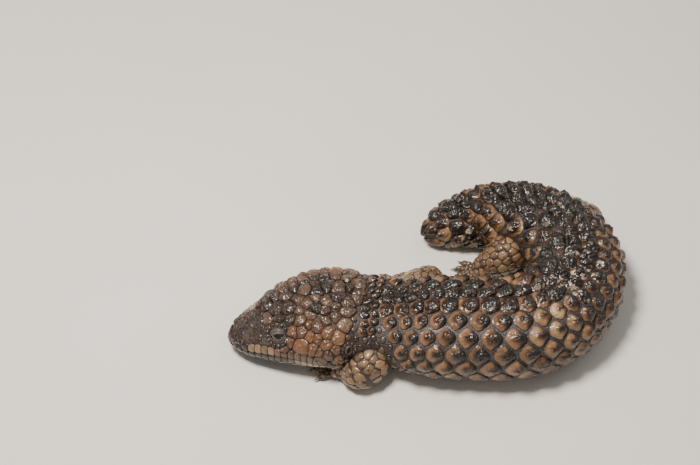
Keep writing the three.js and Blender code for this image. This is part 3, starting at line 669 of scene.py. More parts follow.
def add_plates(shape, sites, wanted, edges, patch_box=(0, 0, 1, 1)):
    """One closed plate over the skin for each wanted site, all of one kind, with its rim sunk in."""
    chosen = np.flatnonzero(wanted)
    if not len(chosen):
        return
    kind, number, sheet = KINDS[sites.kind[chosen[0]]], len(chosen), sites.sheet
    size, height = sites.size[chosen], sites.height[chosen, None, None]

    # The outline goes up to the edges shared with the neighbours
    angle = 2 * np.pi * np.arange(kind.spokes) / kind.spokes
    facing = np.stack([np.cos(angle), np.sin(angle)], -1)
    towards = np.einsum("nkc,mc->nkm", edges[0][chosen], facing * (1, kind.squeeze))
    towards = np.maximum(towards / edges[1][chosen, :, None], 0)
    limit = (1 / (size * kind.reach))[:, None] ** kind.sharpness
    radius = ((towards**kind.sharpness).sum(1) + limit) ** (-1 / kind.sharpness)

    # Rings lead from the middle to the edge, and one more goes down into the skin
    r = (np.arange(kind.rings + 1) / kind.rings) ** RING_EASE
    r = np.concatenate([r[1:], [1.0]])[:, None]
    wall = (np.arange(len(r)) == kind.rings)[:, None]
    reach = radius[:, None, :] * r
    u, v = reach * facing[:, 0], reach * facing[:, 1]
    forward = np.maximum(radius[:, :1], radius[:, kind.spokes // 2, None])[..., None]
    lift = kind.profile(r, angle, u / forward, height)
    u = u + kind.lean * forward * np.maximum(u / forward, 0) ** 2 * ~wall
    lift[:, kind.rings] = -kind.sink
    top = kind.profile(np.zeros((1, 1, 1)), 0.0, np.zeros((number, 1, 1)), height)[:, :, 0]

    # They lie over the skin, with one middle point above and one below
    along, across = sites.stretch[0][chosen, None, None], sites.stretch[1][chosen, None, None]
    a0, b0 = sites.a[chosen, None, None], sites.b[chosen, None, None]
    a = np.clip(a0 + u / along, sheet.a[0], sheet.a[-1])
    b = b0 + v / across
    points, normals = sheet.read(sheet.points, a, b), unit(sheet.read(sheet.normals, a, b))
    if kind.rough:
        near = sites.draw[chosen, None, None, None] * ROUGH_SHIFT
        lift = lift + np.where(r < 1, kind.rough * ripple(points + near, ROUGH_WAVE, ROUGH_SEED), 0)
    points = points + normals * lift[..., None]
    middle = sites.points[chosen] + sites.normal[chosen] * top
    under = sites.points[chosen] - sites.normal[chosen] * kind.sink
    block = np.concatenate([points.reshape(number, -1, 3), middle[:, None], under[:, None]], 1)
    block[..., 2] = np.maximum(block[..., 2], FLOOR_LEVEL)

    # The plate's part of the unwrap is where it grows, a little smaller
    span = sheet.a[-1] - sheet.a[0]
    patch_a = (a0 + (a - a0) * PATCH_SHARE - sheet.a[0]) / span
    patch_b = np.clip((b0 + (b - b0) * PATCH_SHARE + 1) / 2, 0.001, 0.999)
    patch = np.stack([patch_a.reshape(number, -1), patch_b.reshape(number, -1)], -1)
    home = np.stack([(a0[:, 0, 0] - sheet.a[0]) / span, (b0[:, 0, 0] + 1) / 2], -1)[:, None]
    patch = np.array(patch_box[:2]) + np.concatenate([patch, home, home], 1) * np.array(patch_box[2:])

    def each(values, middle_value):
        values = np.broadcast_to(values, (number, len(r), kind.spokes)).reshape(number, -1)
        return np.concatenate([values, middle_value[:, None], values[:, -1:]], 1).ravel()

    none = np.zeros(number)
    own = {"tone": sites.draw, "dark": sites.dark, "pale": sites.pale, "warm": sites.warm}
    own = {name: each(values[chosen, None, None], values[chosen]) for name, values in own.items()}
    start = np.arange(number)[:, None, None] * (len(r) * kind.spokes + 2)
    quads, fans = skin_faces(len(r), kind.spokes)
    over = {"fore": each(u / forward, none), "aside": each(v / forward, none), "rim": each(r, none)}
    shape.add(block, quads + start, fans + start, patch, **over, **own)


class Draws:
    """Draws between two sizes, the same as the solids' own and on every run."""

    def __init__(self, seed):
        self.state = seed

    def __call__(self, low, high):
        self.state = (self.state * 1664525 + 1013904223) % 2**32
        return low + (high - low) * self.state / 2**32


def spread_out(sheet, a, b, radii, rounds=5, apart_enough=0.95, ease=0.3):
    """Sites moved apart over the skin, a little at a time, where they stand too close."""
    for _ in range(rounds):
        points, _, along, across, stretch = sheet.frames(a, b)
        apart = points[:, None] - points
        far = np.linalg.norm(apart, axis=-1) + 1e3 * np.eye(len(a))
        wanted = radii[:, None] + radii
        push = np.clip(apart_enough - far / wanted, 0, 0.5) * wanted * ease
        move = (apart / far[..., None] * push[..., None]).sum(1)
        a = np.clip(a + (move * along).sum(-1) / stretch[0], SCUTES_FROM - 2, SCUTES_TO)
        b = np.clip(b + (move * across).sum(-1) / stretch[1], -FARTHEST_SHARE, FARTHEST_SHARE)
    return a, b


def add_scutes(sites):
    """Staggered lines of keeled scales on both flanks and one on the midline, pitched along the skin."""
    rows = []
    flank, midline = (SCUTE_SHARES, SCUTE_PITCH, WIDEST_SHARE), ((0,), MIDLINE_PITCH, 0)
    for side, (shares, pitch, widest), seed in ((LEFT, flank, 7), (RIGHT, flank, 11), (RIGHT, midline, 5)):
        draw = Draws(seed)
        s = SCUTES_FROM
        while s < SCUTES_TO:
            room = pitch * float(smooth(SCUTE_CLOSENESS, s))
            step = room / max(sites.sheet.spot(s, side * widest)[3][0], LEAST_SCUTE_STRETCH)
            for line, share in enumerate(shares):
                at = s + (0 if line % 2 else step / 2) + draw(-OFF_ALONG, OFF_ALONG)
                low = 1 - LOW_RISE * (share / LOW_SHARE) ** 3
                rise = float(smooth(SCUTE_RISE, s)) * low * draw(0.88, 1.12)
                b = float(from_midline(at, side * share)) + draw(-OFF_ROUND, OFF_ROUND)
                rows.append((at, b, room / 2, rise, draw(0, 1)))
            s += step
    a, b, radii, rise, tone = np.array(rows).T
    a, b = spread_out(sites.sheet, a, b, radii)
    for row in zip(a, b, radii, rise, tone):
        if row[0] > SHOULDER_FROM + SHOULDER_LEAN * (abs(row[1]) - SHOULDER_SHARE):
            on_back = off_midline(row[0], row[1]) < BACK_SHARE or row[0] > TAIL_FROM
            sites.add("back" if on_back else "scute", *row)


def add_lattice(sites, kind, start, end, low, high, pitch, height, seed, scatter=0.14, sizes=(0.9, 1.1)):
    """Staggered scales on both sides between two shares of the half girth; the second may be a function."""
    draw = np.random.default_rng(seed)
    row, s = 0, start
    while s < end:
        girth, stretch = sites.sheet.measures(s)
        share = pitch / girth
        far = high(s) if callable(high) else high
        count = max(int((far - low) / share), 0)
        for side in (LEFT, RIGHT):
            for i in range(count + 1):
                b = low + (i + 0.5 * (row % 2)) * share
                if b > far:
                    continue
                jitter = draw.uniform(-scatter, scatter, 2) * pitch
                b_here = side * (b + jitter[1] * share / pitch)
                size = pitch / 2 * draw.uniform(*sizes)
                at = s + jitter[0] / stretch
                sites.add(kind, at, b_here, size, height * draw.uniform(0.85, 1.15), draw.uniform())
        row += 1
        s += pitch * 0.88 / stretch


def lip_sites(sites):
    """The square plates that edge the mouth, above and below its line."""
    draw = np.random.default_rng(LIP_SEED)
    s = 0.6
    while s < MOUTH_END:
        girth, stretch = sites.sheet.measures(s)
        for side in (LEFT, RIGHT):
            for kind, off, size, height in LIPS:
                sites.add(kind, s, side * (mouth_share(s) + off / girth), size, height, draw.uniform())
        s += LIP_PITCH / stretch


def ring_sites(sites, kind, at, share, size, reach, height, seed):
    """Small scales in a ring round an opening on each side of the head."""
    draw = np.random.default_rng(seed)
    for side in (LEFT, RIGHT):
        stretch = sites.sheet.spot(at, side * share)[3]
        for turn in np.arange(0, 2 * np.pi, 2 * size / reach * 1.04):
            a = at + reach * math.cos(turn) / stretch[0]
            b = side * share + reach * math.sin(turn) / stretch[1]
            sites.add(kind, a, b, size, height, draw.uniform())


def body_sites(body, limbs):
    """All scales of the head, neck, trunk and tail, big ones first."""
    sites = Sites(body)
    lip_sites(sites)
    ring_sites(sites, "orbital", EYE_AT, EYE_SIDE, 1.15, 5.6, 0.8, EYE_SEED)
    ring_sites(sites, "orbital", EAR_AT, EAR_SIDE, 0.95, 3.5, 0.5, EAR_SEED)
    add_scutes(sites)
    for lattice in LATTICES:
        add_lattice(sites, *lattice)

    def clear_of_limbs(points):
        return np.all([limb.depth(points) > 0.4 for limb in limbs], axis=0)

    def clear_of_holes(points):
        holes = [(EYE_AT, EYE_SIDE, EYE_ROOM), (EAR_AT, EAR_SIDE, EAR_ROOM)]
        holes.append((NOSTRIL_AT, NOSTRIL_SIDE, NOSTRIL_ROOM))
        middles = [(body.spot(a, side * b)[0], room) for side in (LEFT, RIGHT) for a, b, room in holes]
        return np.all([np.linalg.norm(points - middle, axis=-1) > room for middle, room in middles], axis=0)

    sites.close([clear_of_limbs, clear_of_holes])
    smooth_snout = 0.3 + 0.7 * step_between(6, 24, sites.a)
    low_cheek = 1 - 0.4 * step_between(0.28, 0.38, np.abs(sites.b)) * step_between(28, 36, sites.a)
    sites.height = sites.height * np.where(sites.kind == "shield", smooth_snout * low_cheek, 1)
    colour_body(sites)
    return sites


def colour_body(sites):
    """How dark, pale and warm each scale of the body is, from where it grows."""
    a, side, kind = sites.a, off_midline(sites.a, sites.b), sites.kind
    fine = np.random.default_rng(COLOUR_SEED).normal(0, 1, len(a))
    patch = ripple(sites.points, 34, PATCH_SEED)

    # The body: a dark back, broader behind, tan flanks, and paler scutes and spots over the bend, the paler
    # scutes partly a painted highlight, and the tail's flanks paler as painted light
    rear = step_between(150, 200, a)
    far_bend = band(a, 160, 178, 236, 256)
    midline = 1 - step_between(0.04 + 0.06 * rear, 0.24 + 0.1 * far_bend, side)
    bend = rear * (1 - step_between(0.3, 0.6, side) * 0.7)
    # Paler scutes where the trunk starts to bend: partly their own pale tan, partly a painted highlight
    pale_and_highlight = band(a, 134, 150, 162, 176) * (1 - step_between(0.36, 0.5, side))
    spots = band(a, 158, 168, 198, 206) * (1 - step_between(0.2, 0.3, side)) * (fine > -0.2)
    dark = 0.1 + 0.85 * midline * (0.85 + 0.15 * rear) + 0.2 * bend * far_bend + 0.2 * far_bend
    dark = dark + 0.2 * patch * (1 + rear) + 0.12 * fine - 0.1 * pale_and_highlight
    pale = 0.12 + 0.25 * step_between(0.46, 0.6, side) * (1 - 0.6 * rear) + 0.14 * fine
    # Painted light: the tail's flanks paler from 236 mm on, as if light falls on them
    pale = pale + 0.3 * step_between(236, 256, a) * step_between(0.25, 0.4, side)
    pale = pale + 0.26 * pale_and_highlight * step_between(0.1, 0.22, side) + 0.4 * spots
    warm = 0.5 + 0.22 * fine + 0.25 * patch

    # The head: slate snout, grey-brown crown, orange-brown cheeks, and dark fine scales behind the jaw
    head = a < HEAD_END + 3
    snout = 1 - step_between(12, 21, a)
    crown = 1 - step_between(0.1, 0.34, side)
    cheek = step_between(0.2, 0.34, side) * step_between(26, 36, a)
    nape = band(a, 64, 70, 86, 100)
    jaw_angle = np.exp(-(((a - 52) / 8) ** 2)) * step_between(0.36, 0.46, side)
    over_lip = band(a, 9, 13, 20, 27) * (1 - step_between(0.26, 0.34, mouth_share(a) - side))
    head_dark = 0.22 + 0.8 * snout + 0.45 * crown * (1 - snout) + 0.14 * fine + 0.15 * patch * crown
    head_pale = 0.08 + 0.1 * fine + 0.2 * step_between(52, 62, a) * (1 - nape) + 0.35 * over_lip
    dark = np.where(head, head_dark + 0.4 * jaw_angle - 0.65 * over_lip, dark) + 0.08 * nape
    warm = np.where(head, 0.25 + 0.65 * cheek + 0.25 * fine, warm) + 0.1 * nape
    pale = np.where(head, head_pale, pale)

    # The small kinds: a cream patch on the front lip, a painted highlight as a pale streak on the rear lower
    # lip and the jaw below its corner, painted shade darkening lower lip and throat towards the front under
    # the head, and paler undersides
    # Painted highlight: a pale streak along the jaw below the mouth's corner, on the throat and the lower lip
    jaw_highlight = np.exp(-(((a - 44) / 11) ** 2)) * band(side, 0.52, 0.57, 0.66, 0.74)
    under = 0.45 + 0.35 * step_between(0.7, 0.85, side)
    # Painted shade: the throat darker and less pale towards the front, under the head
    front = 0.5 * (1 - step_between(26, 40, a))
    behind_tip, corner = step_between(7, 11, a), step_between(22, 36, a)
    cream = behind_tip * (0.55 + 0.16 * fine - 0.5 * step_between(18, 26, a))
    belly = 0.15 + 0.5 * step_between(0.68, 0.8, side) + 0.1 * fine
    by_kind = {
        "belly": (0.3 + 0.3 * patch + 0.1 * fine, belly, warm),
        "throat": (0.4 + front + 0.2 * patch + 0.1 * fine - 0.5 * jaw_highlight, under - front + 0.6 * jaw_highlight, 0.2),
        "lip": (0.9 * (1 - behind_tip) + 0.5 * corner + 0.08 * fine, cream, 0.35),
        # Lower lip: darker towards the front as painted shade, paler behind as a painted highlight
        "lower_lip": (0.85 - 0.7 * corner + 0.06 * fine, 0.1 + 0.8 * step_between(29, 38, a), 0.2),
        "granule": (0.55 + 0.15 * fine + 0.2 * nape, 0.16 + 0.1 * fine, 0.2),
        "orbital": (0.7 + 0.1 * fine, 0.1, 0.1),
    }
    looks = dark, pale, warm
    for name, own in by_kind.items():
        looks = [np.where(kind == name, here, values) for here, values in zip(own, looks)]
    sites.dark, sites.pale, sites.warm = (np.clip(values, 0, 1) for values in looks)


def limb_sites(limb, body_tree):
    """Low domed scales over a leg wherever it stands clear of the body."""
    sites = Sites(limb.sheet)
    seed = LEG_SEED + len(limb.name)
    add_lattice(sites, "leg", 1, limb.sheet.a[-1] - 2, 0.0, 0.98, 4.3, 0.75, seed, 0.12, (0.86, 1.16))

    def clear_of_body(points):
        clear = np.ones(len(points), bool)
        for i, point in enumerate(points):
            near, normal, _, _ = body_tree.find_nearest(Vector(point))
            clear[i] = (Vector(point) - near).dot(normal) > 0.2
        return clear

    sites.close([clear_of_body])
    draw, number = np.random.default_rng(seed), len(sites.a)
    sites.dark = np.clip(0.25 + draw.normal(0, 0.24, number), 0, 0.8)
    yellow = draw.uniform(size=number) > 0.86
    sites.pale = np.where(yellow, 0.85, np.clip(draw.normal(0.15, 0.12, number), 0, 1))
    sites.warm = np.clip(draw.normal(0.4, 0.3, number), 0, 1)
    return sites


def toe_sites(toe, seed):
    """Small scales over a toe."""
    sites = Sites(toe["sheet"])
    add_lattice(sites, "toe", 0.8, toe["sheet"].a[-1] - 0.8, 0.0, 0.8, 2.3, 0.32, seed, 0.06)
    sites.close()
    draw, number = np.random.default_rng(seed), len(sites.a)
    sites.dark = np.clip(0.35 + draw.normal(0, 0.12, number), 0, 0.8)
    sites.pale = np.clip(draw.normal(0.15, 0.1, number), 0, 1)
    sites.warm = np.clip(draw.normal(0.3, 0.2, number), 0, 1)
    return sites


class Animal:
    """All skins and scale sites, worked out once."""

    def __init__(self):
        self.body = body_sheet()
        self.limbs = [Limb(name, *leg) for name, leg in LEGS.items()]
        quads, _ = skin_faces(*self.body.points.shape[:2])
        self.tree = BVHTree.FromPolygons(self.body.points.reshape(-1, 3).tolist(), quads.tolist())
        self.sites = body_sites(self.body, self.limbs)
        self.edges = self.sites.edges()

    def spot(self, s, share, sink=0.0):
        """A place on the body with its outward direction and its direction along the body."""
        point, normal, along, _ = self.body.spot(s, share)
        return point - normal * sink, normal, unit(along - normal * (along @ normal))


@functools.cache
def animal():
    return Animal()


def linear(red, green, blue):
    """A colour given as it looks on screen, from 0 to 255, as the light it sends back."""
    return tuple(((c / 255 + 0.055) / 1.055) ** 2.4 if c > 10 else c / 3295 for c in (red, green, blue))


class Value:
    """An output of a material's node, with arithmetic that adds the nodes it needs."""

    def __init__(self, paint, socket):
        self.paint, self.socket = paint, socket

    def __add__(self, other):
        return self.paint.math("ADD", self, other)

    def __radd__(self, other):
        return self.paint.math("ADD", other, self)

    def __sub__(self, other):
        return self.paint.math("SUBTRACT", self, other)

    def __rsub__(self, other):
        return self.paint.math("SUBTRACT", other, self)

    def __mul__(self, other):
        return self.paint.math("MULTIPLY", self, other)

    def __rmul__(self, other):
        return self.paint.math("MULTIPLY", other, self)


class Paint:
    """A node material, built call by call."""

    def __init__(self, name):
        self.material = bpy.data.materials.new(name)
        self.material.use_nodes = True
        self.nodes = self.material.node_tree.nodes
        self.links = self.material.node_tree.links

    def put(self, socket, value):
        if isinstance(value, Value):
            self.links.new(value.socket, socket)
        else:
            socket.default_value = (*value, 1.0) if socket.type == "RGBA" else value

    def node(self, kind, settings, sockets, output=0):
        """Adds a node: its settings, then the values or links of its sockets, by number or name."""
        made = self.nodes.new(kind)
        for key, setting in settings.items():
            setattr(made, key, setting)
        for key, value in sockets.items():
            self.put(made.inputs[key], value)
        return Value(self, made.outputs[output])

    def math(self, operation, *terms):
        return self.node("ShaderNodeMath", {"operation": operation}, dict(enumerate(terms)))

    def mix(self, factor, low, high):
        return self.node("ShaderNodeMix", {"data_type": "RGBA"}, {0: factor, 6: low, 7: high}, 2)

    def between(self, value, low, high):
        """0 below low, 1 above high, and a smooth step between."""
        settings = {"interpolation_type": "SMOOTHSTEP"}
        return self.node("ShaderNodeMapRange", settings, {0: value, 1: low, 2: high})

    def attribute(self, name):
        return self.node("ShaderNodeAttribute", {"attribute_name": name}, {}, "Fac")

    def place(self):
        return self.node("ShaderNodeTexCoord", {}, {}, "Object")

    def noise(self, size, detail=3.0, rough=0.55):
        """Soft noise with features of a size in metres."""
        sockets = {"Vector": self.place(), "Scale": 1 / size, "Detail": detail, "Roughness": rough}
        return self.node("ShaderNodeTexNoise", {}, sockets)

    def cells(self, size):
        """Distance to the nearest cell's centre, for cells of a size in metres."""
        return self.node("ShaderNodeTexVoronoi", {}, {"Vector": self.place(), "Scale": 1 / size})

    def bump(self, height, distance, strength=1.0, **under):
        sockets = {"Strength": strength, "Distance": distance, "Height": height, **under}
        return self.node("ShaderNodeBump", {}, sockets)

    def finish(self, **sockets):
        """The material, with its shader's sockets by their names, such as coat_weight for Coat Weight."""
        for key, value in sockets.items():
            name = key.replace("_", " ").title().replace("Ior", "IOR")
            self.put(self.nodes["Principled BSDF"].inputs[name], value)
        return self.material


def scale_paint(name, look, colours, crescent=False):
    """The finish of horny scales: a warm front and rims, a dark rear or seams, painted shade round the keeled
    scutes' rims, and wet gloss.
    """
    paint = Paint(name)
    dark, pale, warm = (paint.attribute(key) for key in ("dark", "pale", "warm"))
    fore, aside, rim, tone = (paint.attribute(key) for key in ("fore", "aside", "rim", "tone"))
    blotch = paint.noise(0.004, 2.0) - 0.5
    grain = paint.noise(0.0007, 4.0, 0.65)
    speck = grain - 0.5
    pits = paint.cells(0.0014)
    base = paint.mix(paint.between(warm + blotch * 1.4, 0.0, 1.0), colours.plain, colours.warm)
    base = paint.mix(paint.between(pale + blotch * 0.5, 0.05, 0.95), base, colours.pale)
    if crescent:
        # A light crescent round the front, brown on its inside, with the dark rear behind it, and painted
        # shade darkening each scute towards its rim
        behind = paint.math("MINIMUM", fore - 0.15, 0.0)
        across = aside * 0.85
        far = paint.math("POWER", behind * behind + across * across, 0.5)
        edge = far + blotch * 0.45 + speck * 0.3 - (dark - 0.12) * 0.9 + pale * 0.3
        front = 1 - paint.between(fore + speck * 0.3, 0.1, 0.6) * (1 - pale * 0.4)
        # Painted shade: the light part gives way to the dark one towards the rim, where the scute meets the
        # skin
        inner = 1 - paint.between(rim + speck * 0.2, 0.8, 1.0) * 0.7
        light = paint.between(edge, 0.2, 0.62) * (0.06 + 0.94 * front) * inner
        base = paint.mix(paint.between(edge, 0.4, 0.85), colours.warm, base)
    else:
        seam = paint.between(rim + speck * 0.3, 0.7, 1.0)
        mottle = blotch * (2.8 - dark * 1.8) + speck * 0.7
        light = (1 - seam * 0.3) * (1 - paint.between(dark + mottle, 0.15, 0.95))
    shade = paint.mix(paint.between(grain, 0.3, 0.7), colours.dark, colours.deep)
    russet = paint.between(blotch + tone * 0.3, 0.1, 0.4) * (0.9 - dark * 0.6)
    shade = paint.mix(russet, shade, colours.russet)
    worn = 0.86 + 0.42 * (tone - 0.5) + 0.35 * speck
    tint = paint.node("ShaderNodeVectorMath", {"operation": "SCALE"}, {0: base, "Scale": worn})
    colour = paint.mix(light, shade, tint)
    if crescent:
        dust = paint.between(paint.noise(0.003, 3.0, 0.6), 0.58, 0.68) * 0.45 * dark
        colour = paint.mix(dust, colour, colours.dust)
        chalk = paint.between(pale, 0.35, 0.5) * paint.between(dark, 0.3, 0.6)
        chalk = chalk * paint.between(paint.noise(0.004, 3.0), 0.56, 0.61) * 0.75
        colour = paint.mix(chalk, colour, colours.chalk)
    deep = (1 - light) * (0.7 if crescent else 0.4) + 0.3
    pitted = paint.bump(pits * deep, 0.0007, look.relief)
    return paint.finish(
        base_color=colour,
        roughness=look.roughness + 0.22 * (grain - 0.4) + 0.1 * light,
        normal=paint.bump(grain, 0.0003, look.relief * 0.6, Normal=pitted),
        coat_weight=look.gloss if crescent else min(look.gloss * 1.4, 1),
        coat_roughness=0.13,
        specular_ior_level=0.3,
    )


def skin_paint(look, colours):
    """The soft skin between the scales: dark grey, brown on back and legs, paler below, with painted shade,
    near black, along the mouth's line.
    """
    paint = Paint("skin_between_scales")
    grain, blotch, beads = paint.noise(0.0009, 4.0, 0.6), paint.noise(0.006, 2.0), paint.cells(0.0008)
    colour = paint.mix(paint.between(grain, 0.3, 0.7), colours.grey, colours.grain)
    colour = paint.mix(paint.between(blotch, 0.45, 0.75) * 0.6, colour, colours.blotch)
    colour = paint.mix(paint.attribute("low") * 0.7, colour, colours.under)
    colour = paint.mix(paint.attribute("brown") * 0.85, colour, colours.brown)
    return paint.finish(
        # Painted shade: the line of the mouth is painted near black
        base_color=paint.mix(paint.attribute("seam"), colour, colours.mouth),
        roughness=0.5 + 0.25 * (grain - 0.5),
        normal=paint.bump(1 - beads, 0.0004, look.relief),
        coat_weight=look.gloss * 0.1,
    )


def horn_paint(colours):
    """Claws: dark brown horn, lighter at the tip."""
    paint = Paint("claw_horn")
    streak = paint.noise(0.0006, 3.0)
    tip = paint.between(paint.attribute("tip") + streak * 0.3, 0.3, 1.1)
    colour, normal = paint.mix(tip, colours.claw, colours.claw_tip), paint.bump(streak, 0.0001, 0.4)
    return paint.finish(base_color=colour, roughness=0.28 + 0.15 * streak, normal=normal, coat_weight=0.3)


def eye_paint(colours):
    """The eye: a black pupil in a red-brown iris with a thin dark rim."""
    paint = Paint("eye_iris")
    far, streak = paint.attribute("far"), paint.noise(0.0005, 3.0)
    iris = paint.mix(streak, colours.iris, colours.streak)
    colour = paint.mix(paint.between(far, 0.42, 0.5), colours.pupil, iris)
    colour = paint.mix(paint.between(far, 0.5, 0.62), colour, colours.eye_rim)
    rough = 0.06 + 0.04 * streak
    return paint.finish(base_color=colour, roughness=rough, coat_weight=1.0, coat_roughness=0.03)


def opening_paint(name, look, colours, rim):
    """The raised rim of a nostril, ear or lid, with painted shade, black, inside it and in its grooves."""
    paint = Paint(name)
    grain = paint.noise(0.0008, 4.0)
    colour = paint.mix(paint.between(grain, 0.3, 0.7), tuple(c * 0.5 for c in rim), rim)
    colour = paint.mix(paint.attribute("pale"), colour, colours.lid_edge)
    return paint.finish(
        # Painted shade: black inside the openings and in the grooves of lids and rims
        base_color=paint.mix(paint.attribute("inside"), colour, colours.inside),
        roughness=0.55 + 0.2 * grain,
        normal=paint.bump(grain, 0.0003, look.relief),
        coat_weight=look.gloss * 0.3,
    )


def floor_paint(stage):
    """A pale, even floor."""
    paint = Paint("pale_floor")
    soft = paint.noise(0.15, 3.0)
    colour = paint.mix(soft, stage.floor_shade, stage.floor_colour)
    normal = paint.bump(paint.noise(0.0015, 3.0), 0.0002, 0.15)
    return paint.finish(base_color=colour, roughness=0.7 + 0.1 * soft, normal=normal)


def amount(name, description, default, min=0, **more):
    """A number that a user may change."""
    return FloatProperty(name=name, description=description, default=default, min=min, **more)


def swatch(name, description, *screen):
    """A colour that a user may change, its default given as it looks on screen, from 0 to 255."""
    return FloatVectorProperty(name=name, description=description, default=linear(*screen), subtype="COLOR")


def scale_colours(**screen):
    """The colours of one kind of scales."""
    labels = {
        "plain": ("Plain", "Most fronts"),
        "warm": ("Warm", "Warmer fronts, and between front and rear"),
        "pale": ("Pale", "The palest scales"),
        "dark": ("Dark", "Rears and dark patches"),
        "deep": ("Darkest", "Darkest grain of the rears and patches"),
        "russet": ("Russet", "Russet stains in the rears and patches"),
        "dust": ("Dust", "Dusty marks on the back"),
        "chalk": ("Spots", "Pale spots on the back"),
    }
    return {key: swatch(*labels[key], *shade) for key, shade in screen.items()}


class LookSettings(bpy.types.PropertyGroup):
    """Finish and small sizes"""

    relief: amount("Relief", "Strength of the fine relief on scales and skin", 0.8, max=1, subtype="FACTOR")
    roughness: amount("Roughness", "How dull the scales are", 0.32, 0.05, max=1, subtype="FACTOR")
    gloss: amount("Gloss", "Weight of the clear, wet-looking gloss", 0.42, max=1, subtype="FACTOR")
    eye_radius: amount("Eye radius", "Radius of the eyeballs", 4.3 * MM, unit="LENGTH", precision=4)
    claw_length: amount("Claw length", "How far the claws stand out", 3.4 * MM, unit="LENGTH", precision=4)


class BodyColours(bpy.types.PropertyGroup):
    """Scutes of the neck, trunk and tail"""

    __annotations__ = scale_colours(
        plain=(124, 95, 67), warm=(100, 66, 42), pale=(172, 142, 104), dark=(32, 25, 21), deep=(14, 11, 10),
        russet=(58, 36, 23), dust=(122, 108, 96), chalk=(160, 144, 124),
    )


class HeadColours(bpy.types.PropertyGroup):
    """Shields of the head, small scales and belly"""

    __annotations__ = scale_colours(
        plain=(92, 70, 54), warm=(106, 70, 43), pale=(178, 152, 120), dark=(40, 32, 29), deep=(20, 17, 17),
        russet=(66, 43, 30),
    )


class LegColours(bpy.types.PropertyGroup):
    """Scales of the legs and toes"""

    __annotations__ = scale_colours(
        plain=(116, 91, 68), warm=(118, 84, 56), pale=(190, 162, 108), dark=(48, 35, 28), deep=(32, 25, 21),
        russet=(72, 46, 34),
    )


class SkinColours(bpy.types.PropertyGroup):
    """Skin, eyes, openings and claws"""

    grey: swatch("Skin", "Skin between the flanks' scutes", 36, 35, 38)
    grain: swatch("Grain", "Lighter grain of the skin", 64, 64, 69)
    blotch: swatch("Blotches", "Brown blotches in the skin", 62, 48, 38)
    under: swatch("Underside", "Skin of the belly and throat", 138, 118, 96)
    brown: swatch("Back and legs", "Skin of the back, head and legs", 40, 30, 25)
    # Painted shade in the line of the mouth
    mouth: swatch("Mouth", "Line of the mouth", 20, 15, 14)
    iris: swatch("Iris", "Dark of the iris", 24, 15, 11)
    streak: swatch("Iris streaks", "Red-brown streaks of the iris", 58, 36, 24)
    pupil: swatch("Pupil", "Pupil of the eye", 4, 4, 5)
    eye_rim: swatch("Eye rim", "Eyeball outside the iris", 20, 16, 15)
    lids: swatch("Lids", "Eyelids", 84, 70, 67)
    lid_edge: swatch("Lid edge", "Grey edge of the lower lid", 88, 86, 88)
    rims: swatch("Rims", "Rims of the nostrils and ears", 78, 62, 54)
    # Painted shade inside the nostrils, ears and the slits of the lids
    inside: swatch("Inside", "Inside of the nostrils, ears and lids", 10, 8, 8)
    claw: swatch("Claws", "Horn of the claws", 34, 26, 22)
    claw_tip: swatch("Claw tips", "Tips of the claws", 110, 84, 60)


class StageSettings(bpy.types.PropertyGroup):
    """Floor, light and camera"""

    lens: amount("Lens", "Focal length of the camera", 77.76, 10, unit="CAMERA")
    distance: amount("Distance", "From the camera to the point it looks at", 0.84, 0.1, unit="LENGTH")
    elevation: amount("Elevation", "Angle of the camera above the floor", math.radians(52), unit="ROTATION")
    target: FloatVectorProperty(
        name="Target", description="The point the camera looks at", default=(-0.0524, 0.0773, 0),
        subtype="TRANSLATION",
    )
    key: amount("Key light", "Power of the main softbox", 13, unit="POWER")
    fill: amount("Fill light", "Power of the wide fill light", 3.5, unit="POWER")
    room: amount("Room light", "Strength of the light from all round", 0.36)
    floor_width: amount("Floor", "Width of the floor", 6, unit="LENGTH")
    floor_colour: swatch("Floor colour", "Lighter colour of the floor", 216, 214, 210)
    floor_shade: swatch("Floor shade", "Darker colour of the floor", 206, 203, 198)


def millimetres(length):
    """A property's length in millimetres, without the rounding it was stored with."""
    return round(length / MM, 4)


class SKINK_OT_skin(bpy.types.Operator):
    """Make the skin that runs under all the scales"""

    bl_idname = "skink.skin"
    bl_label = "Skin"
    bl_options = {"REGISTER", "UNDO"}

    def execute(self, context):
        shape, body = Shape(), animal().body
        a, b = body.a[:, None], shares_round(body.around)[None, :]
        low = step_between(0.5, 0.75, np.abs(b)) + 0 * a
        # Painted shade along the line of the mouth, where the lips meet
        seam = np.exp(-(((np.abs(b) - mouth_share(a)) / MOUTH_WIDTH) ** 2))
        seam = seam * (1 - step_between(MOUTH_END - 2, MOUTH_END + 2, a))
        flank = step_between(NECK_END, NECK_END + 14, a) * step_between(0.12, 0.3, off_midline(a, b))
        brown = 1 - flank * (1 - 0.8 * step_between(160, 185, a))
        add_skin(shape, body, (0, 0, 1, 0.7), low=low.ravel(), seam=seam.ravel(), brown=brown.ravel())
        on_limbs = {"low": 0.0, "seam": 0.0, "brown": 1.0}
        for i, limb in enumerate(animal().limbs):
            add_skin(shape, limb.sheet, (0.25 * i, 0.72, 0.24, 0.12), **on_limbs)
            for k, toe in enumerate(limb.toes):
                add_skin(shape, toe["sheet"], (0.25 * i + 0.048 * k, 0.86, 0.045, 0.12), **on_limbs)
        legs = [f"{name}_{part}" for name in LEGS for part in ("upper", "lower", "foot")]
        trunk = ["head", "neck", "torso_fore", "torso_mid", "torso_hind", "tail_base", "tail_tip"]
        material = skin_paint(context.scene.skink_look, context.scene.skink_skin)
        shape.piece("skin", material, "neck_skin", *trunk, *legs)
        return {"FINISHED"}


def scale_piece(name, material, slot, kinds, start=0, end=LENGTH + 1):
    """All scales of some kinds on a stretch of the body as one piece."""
    sites, shape = animal().sites, Shape()
    for kind in kinds:
        add_plates(shape, sites, (sites.kind == kind) & (sites.a >= start) & (sites.a < end), animal().edges)
    shape.piece(name, material, slot)


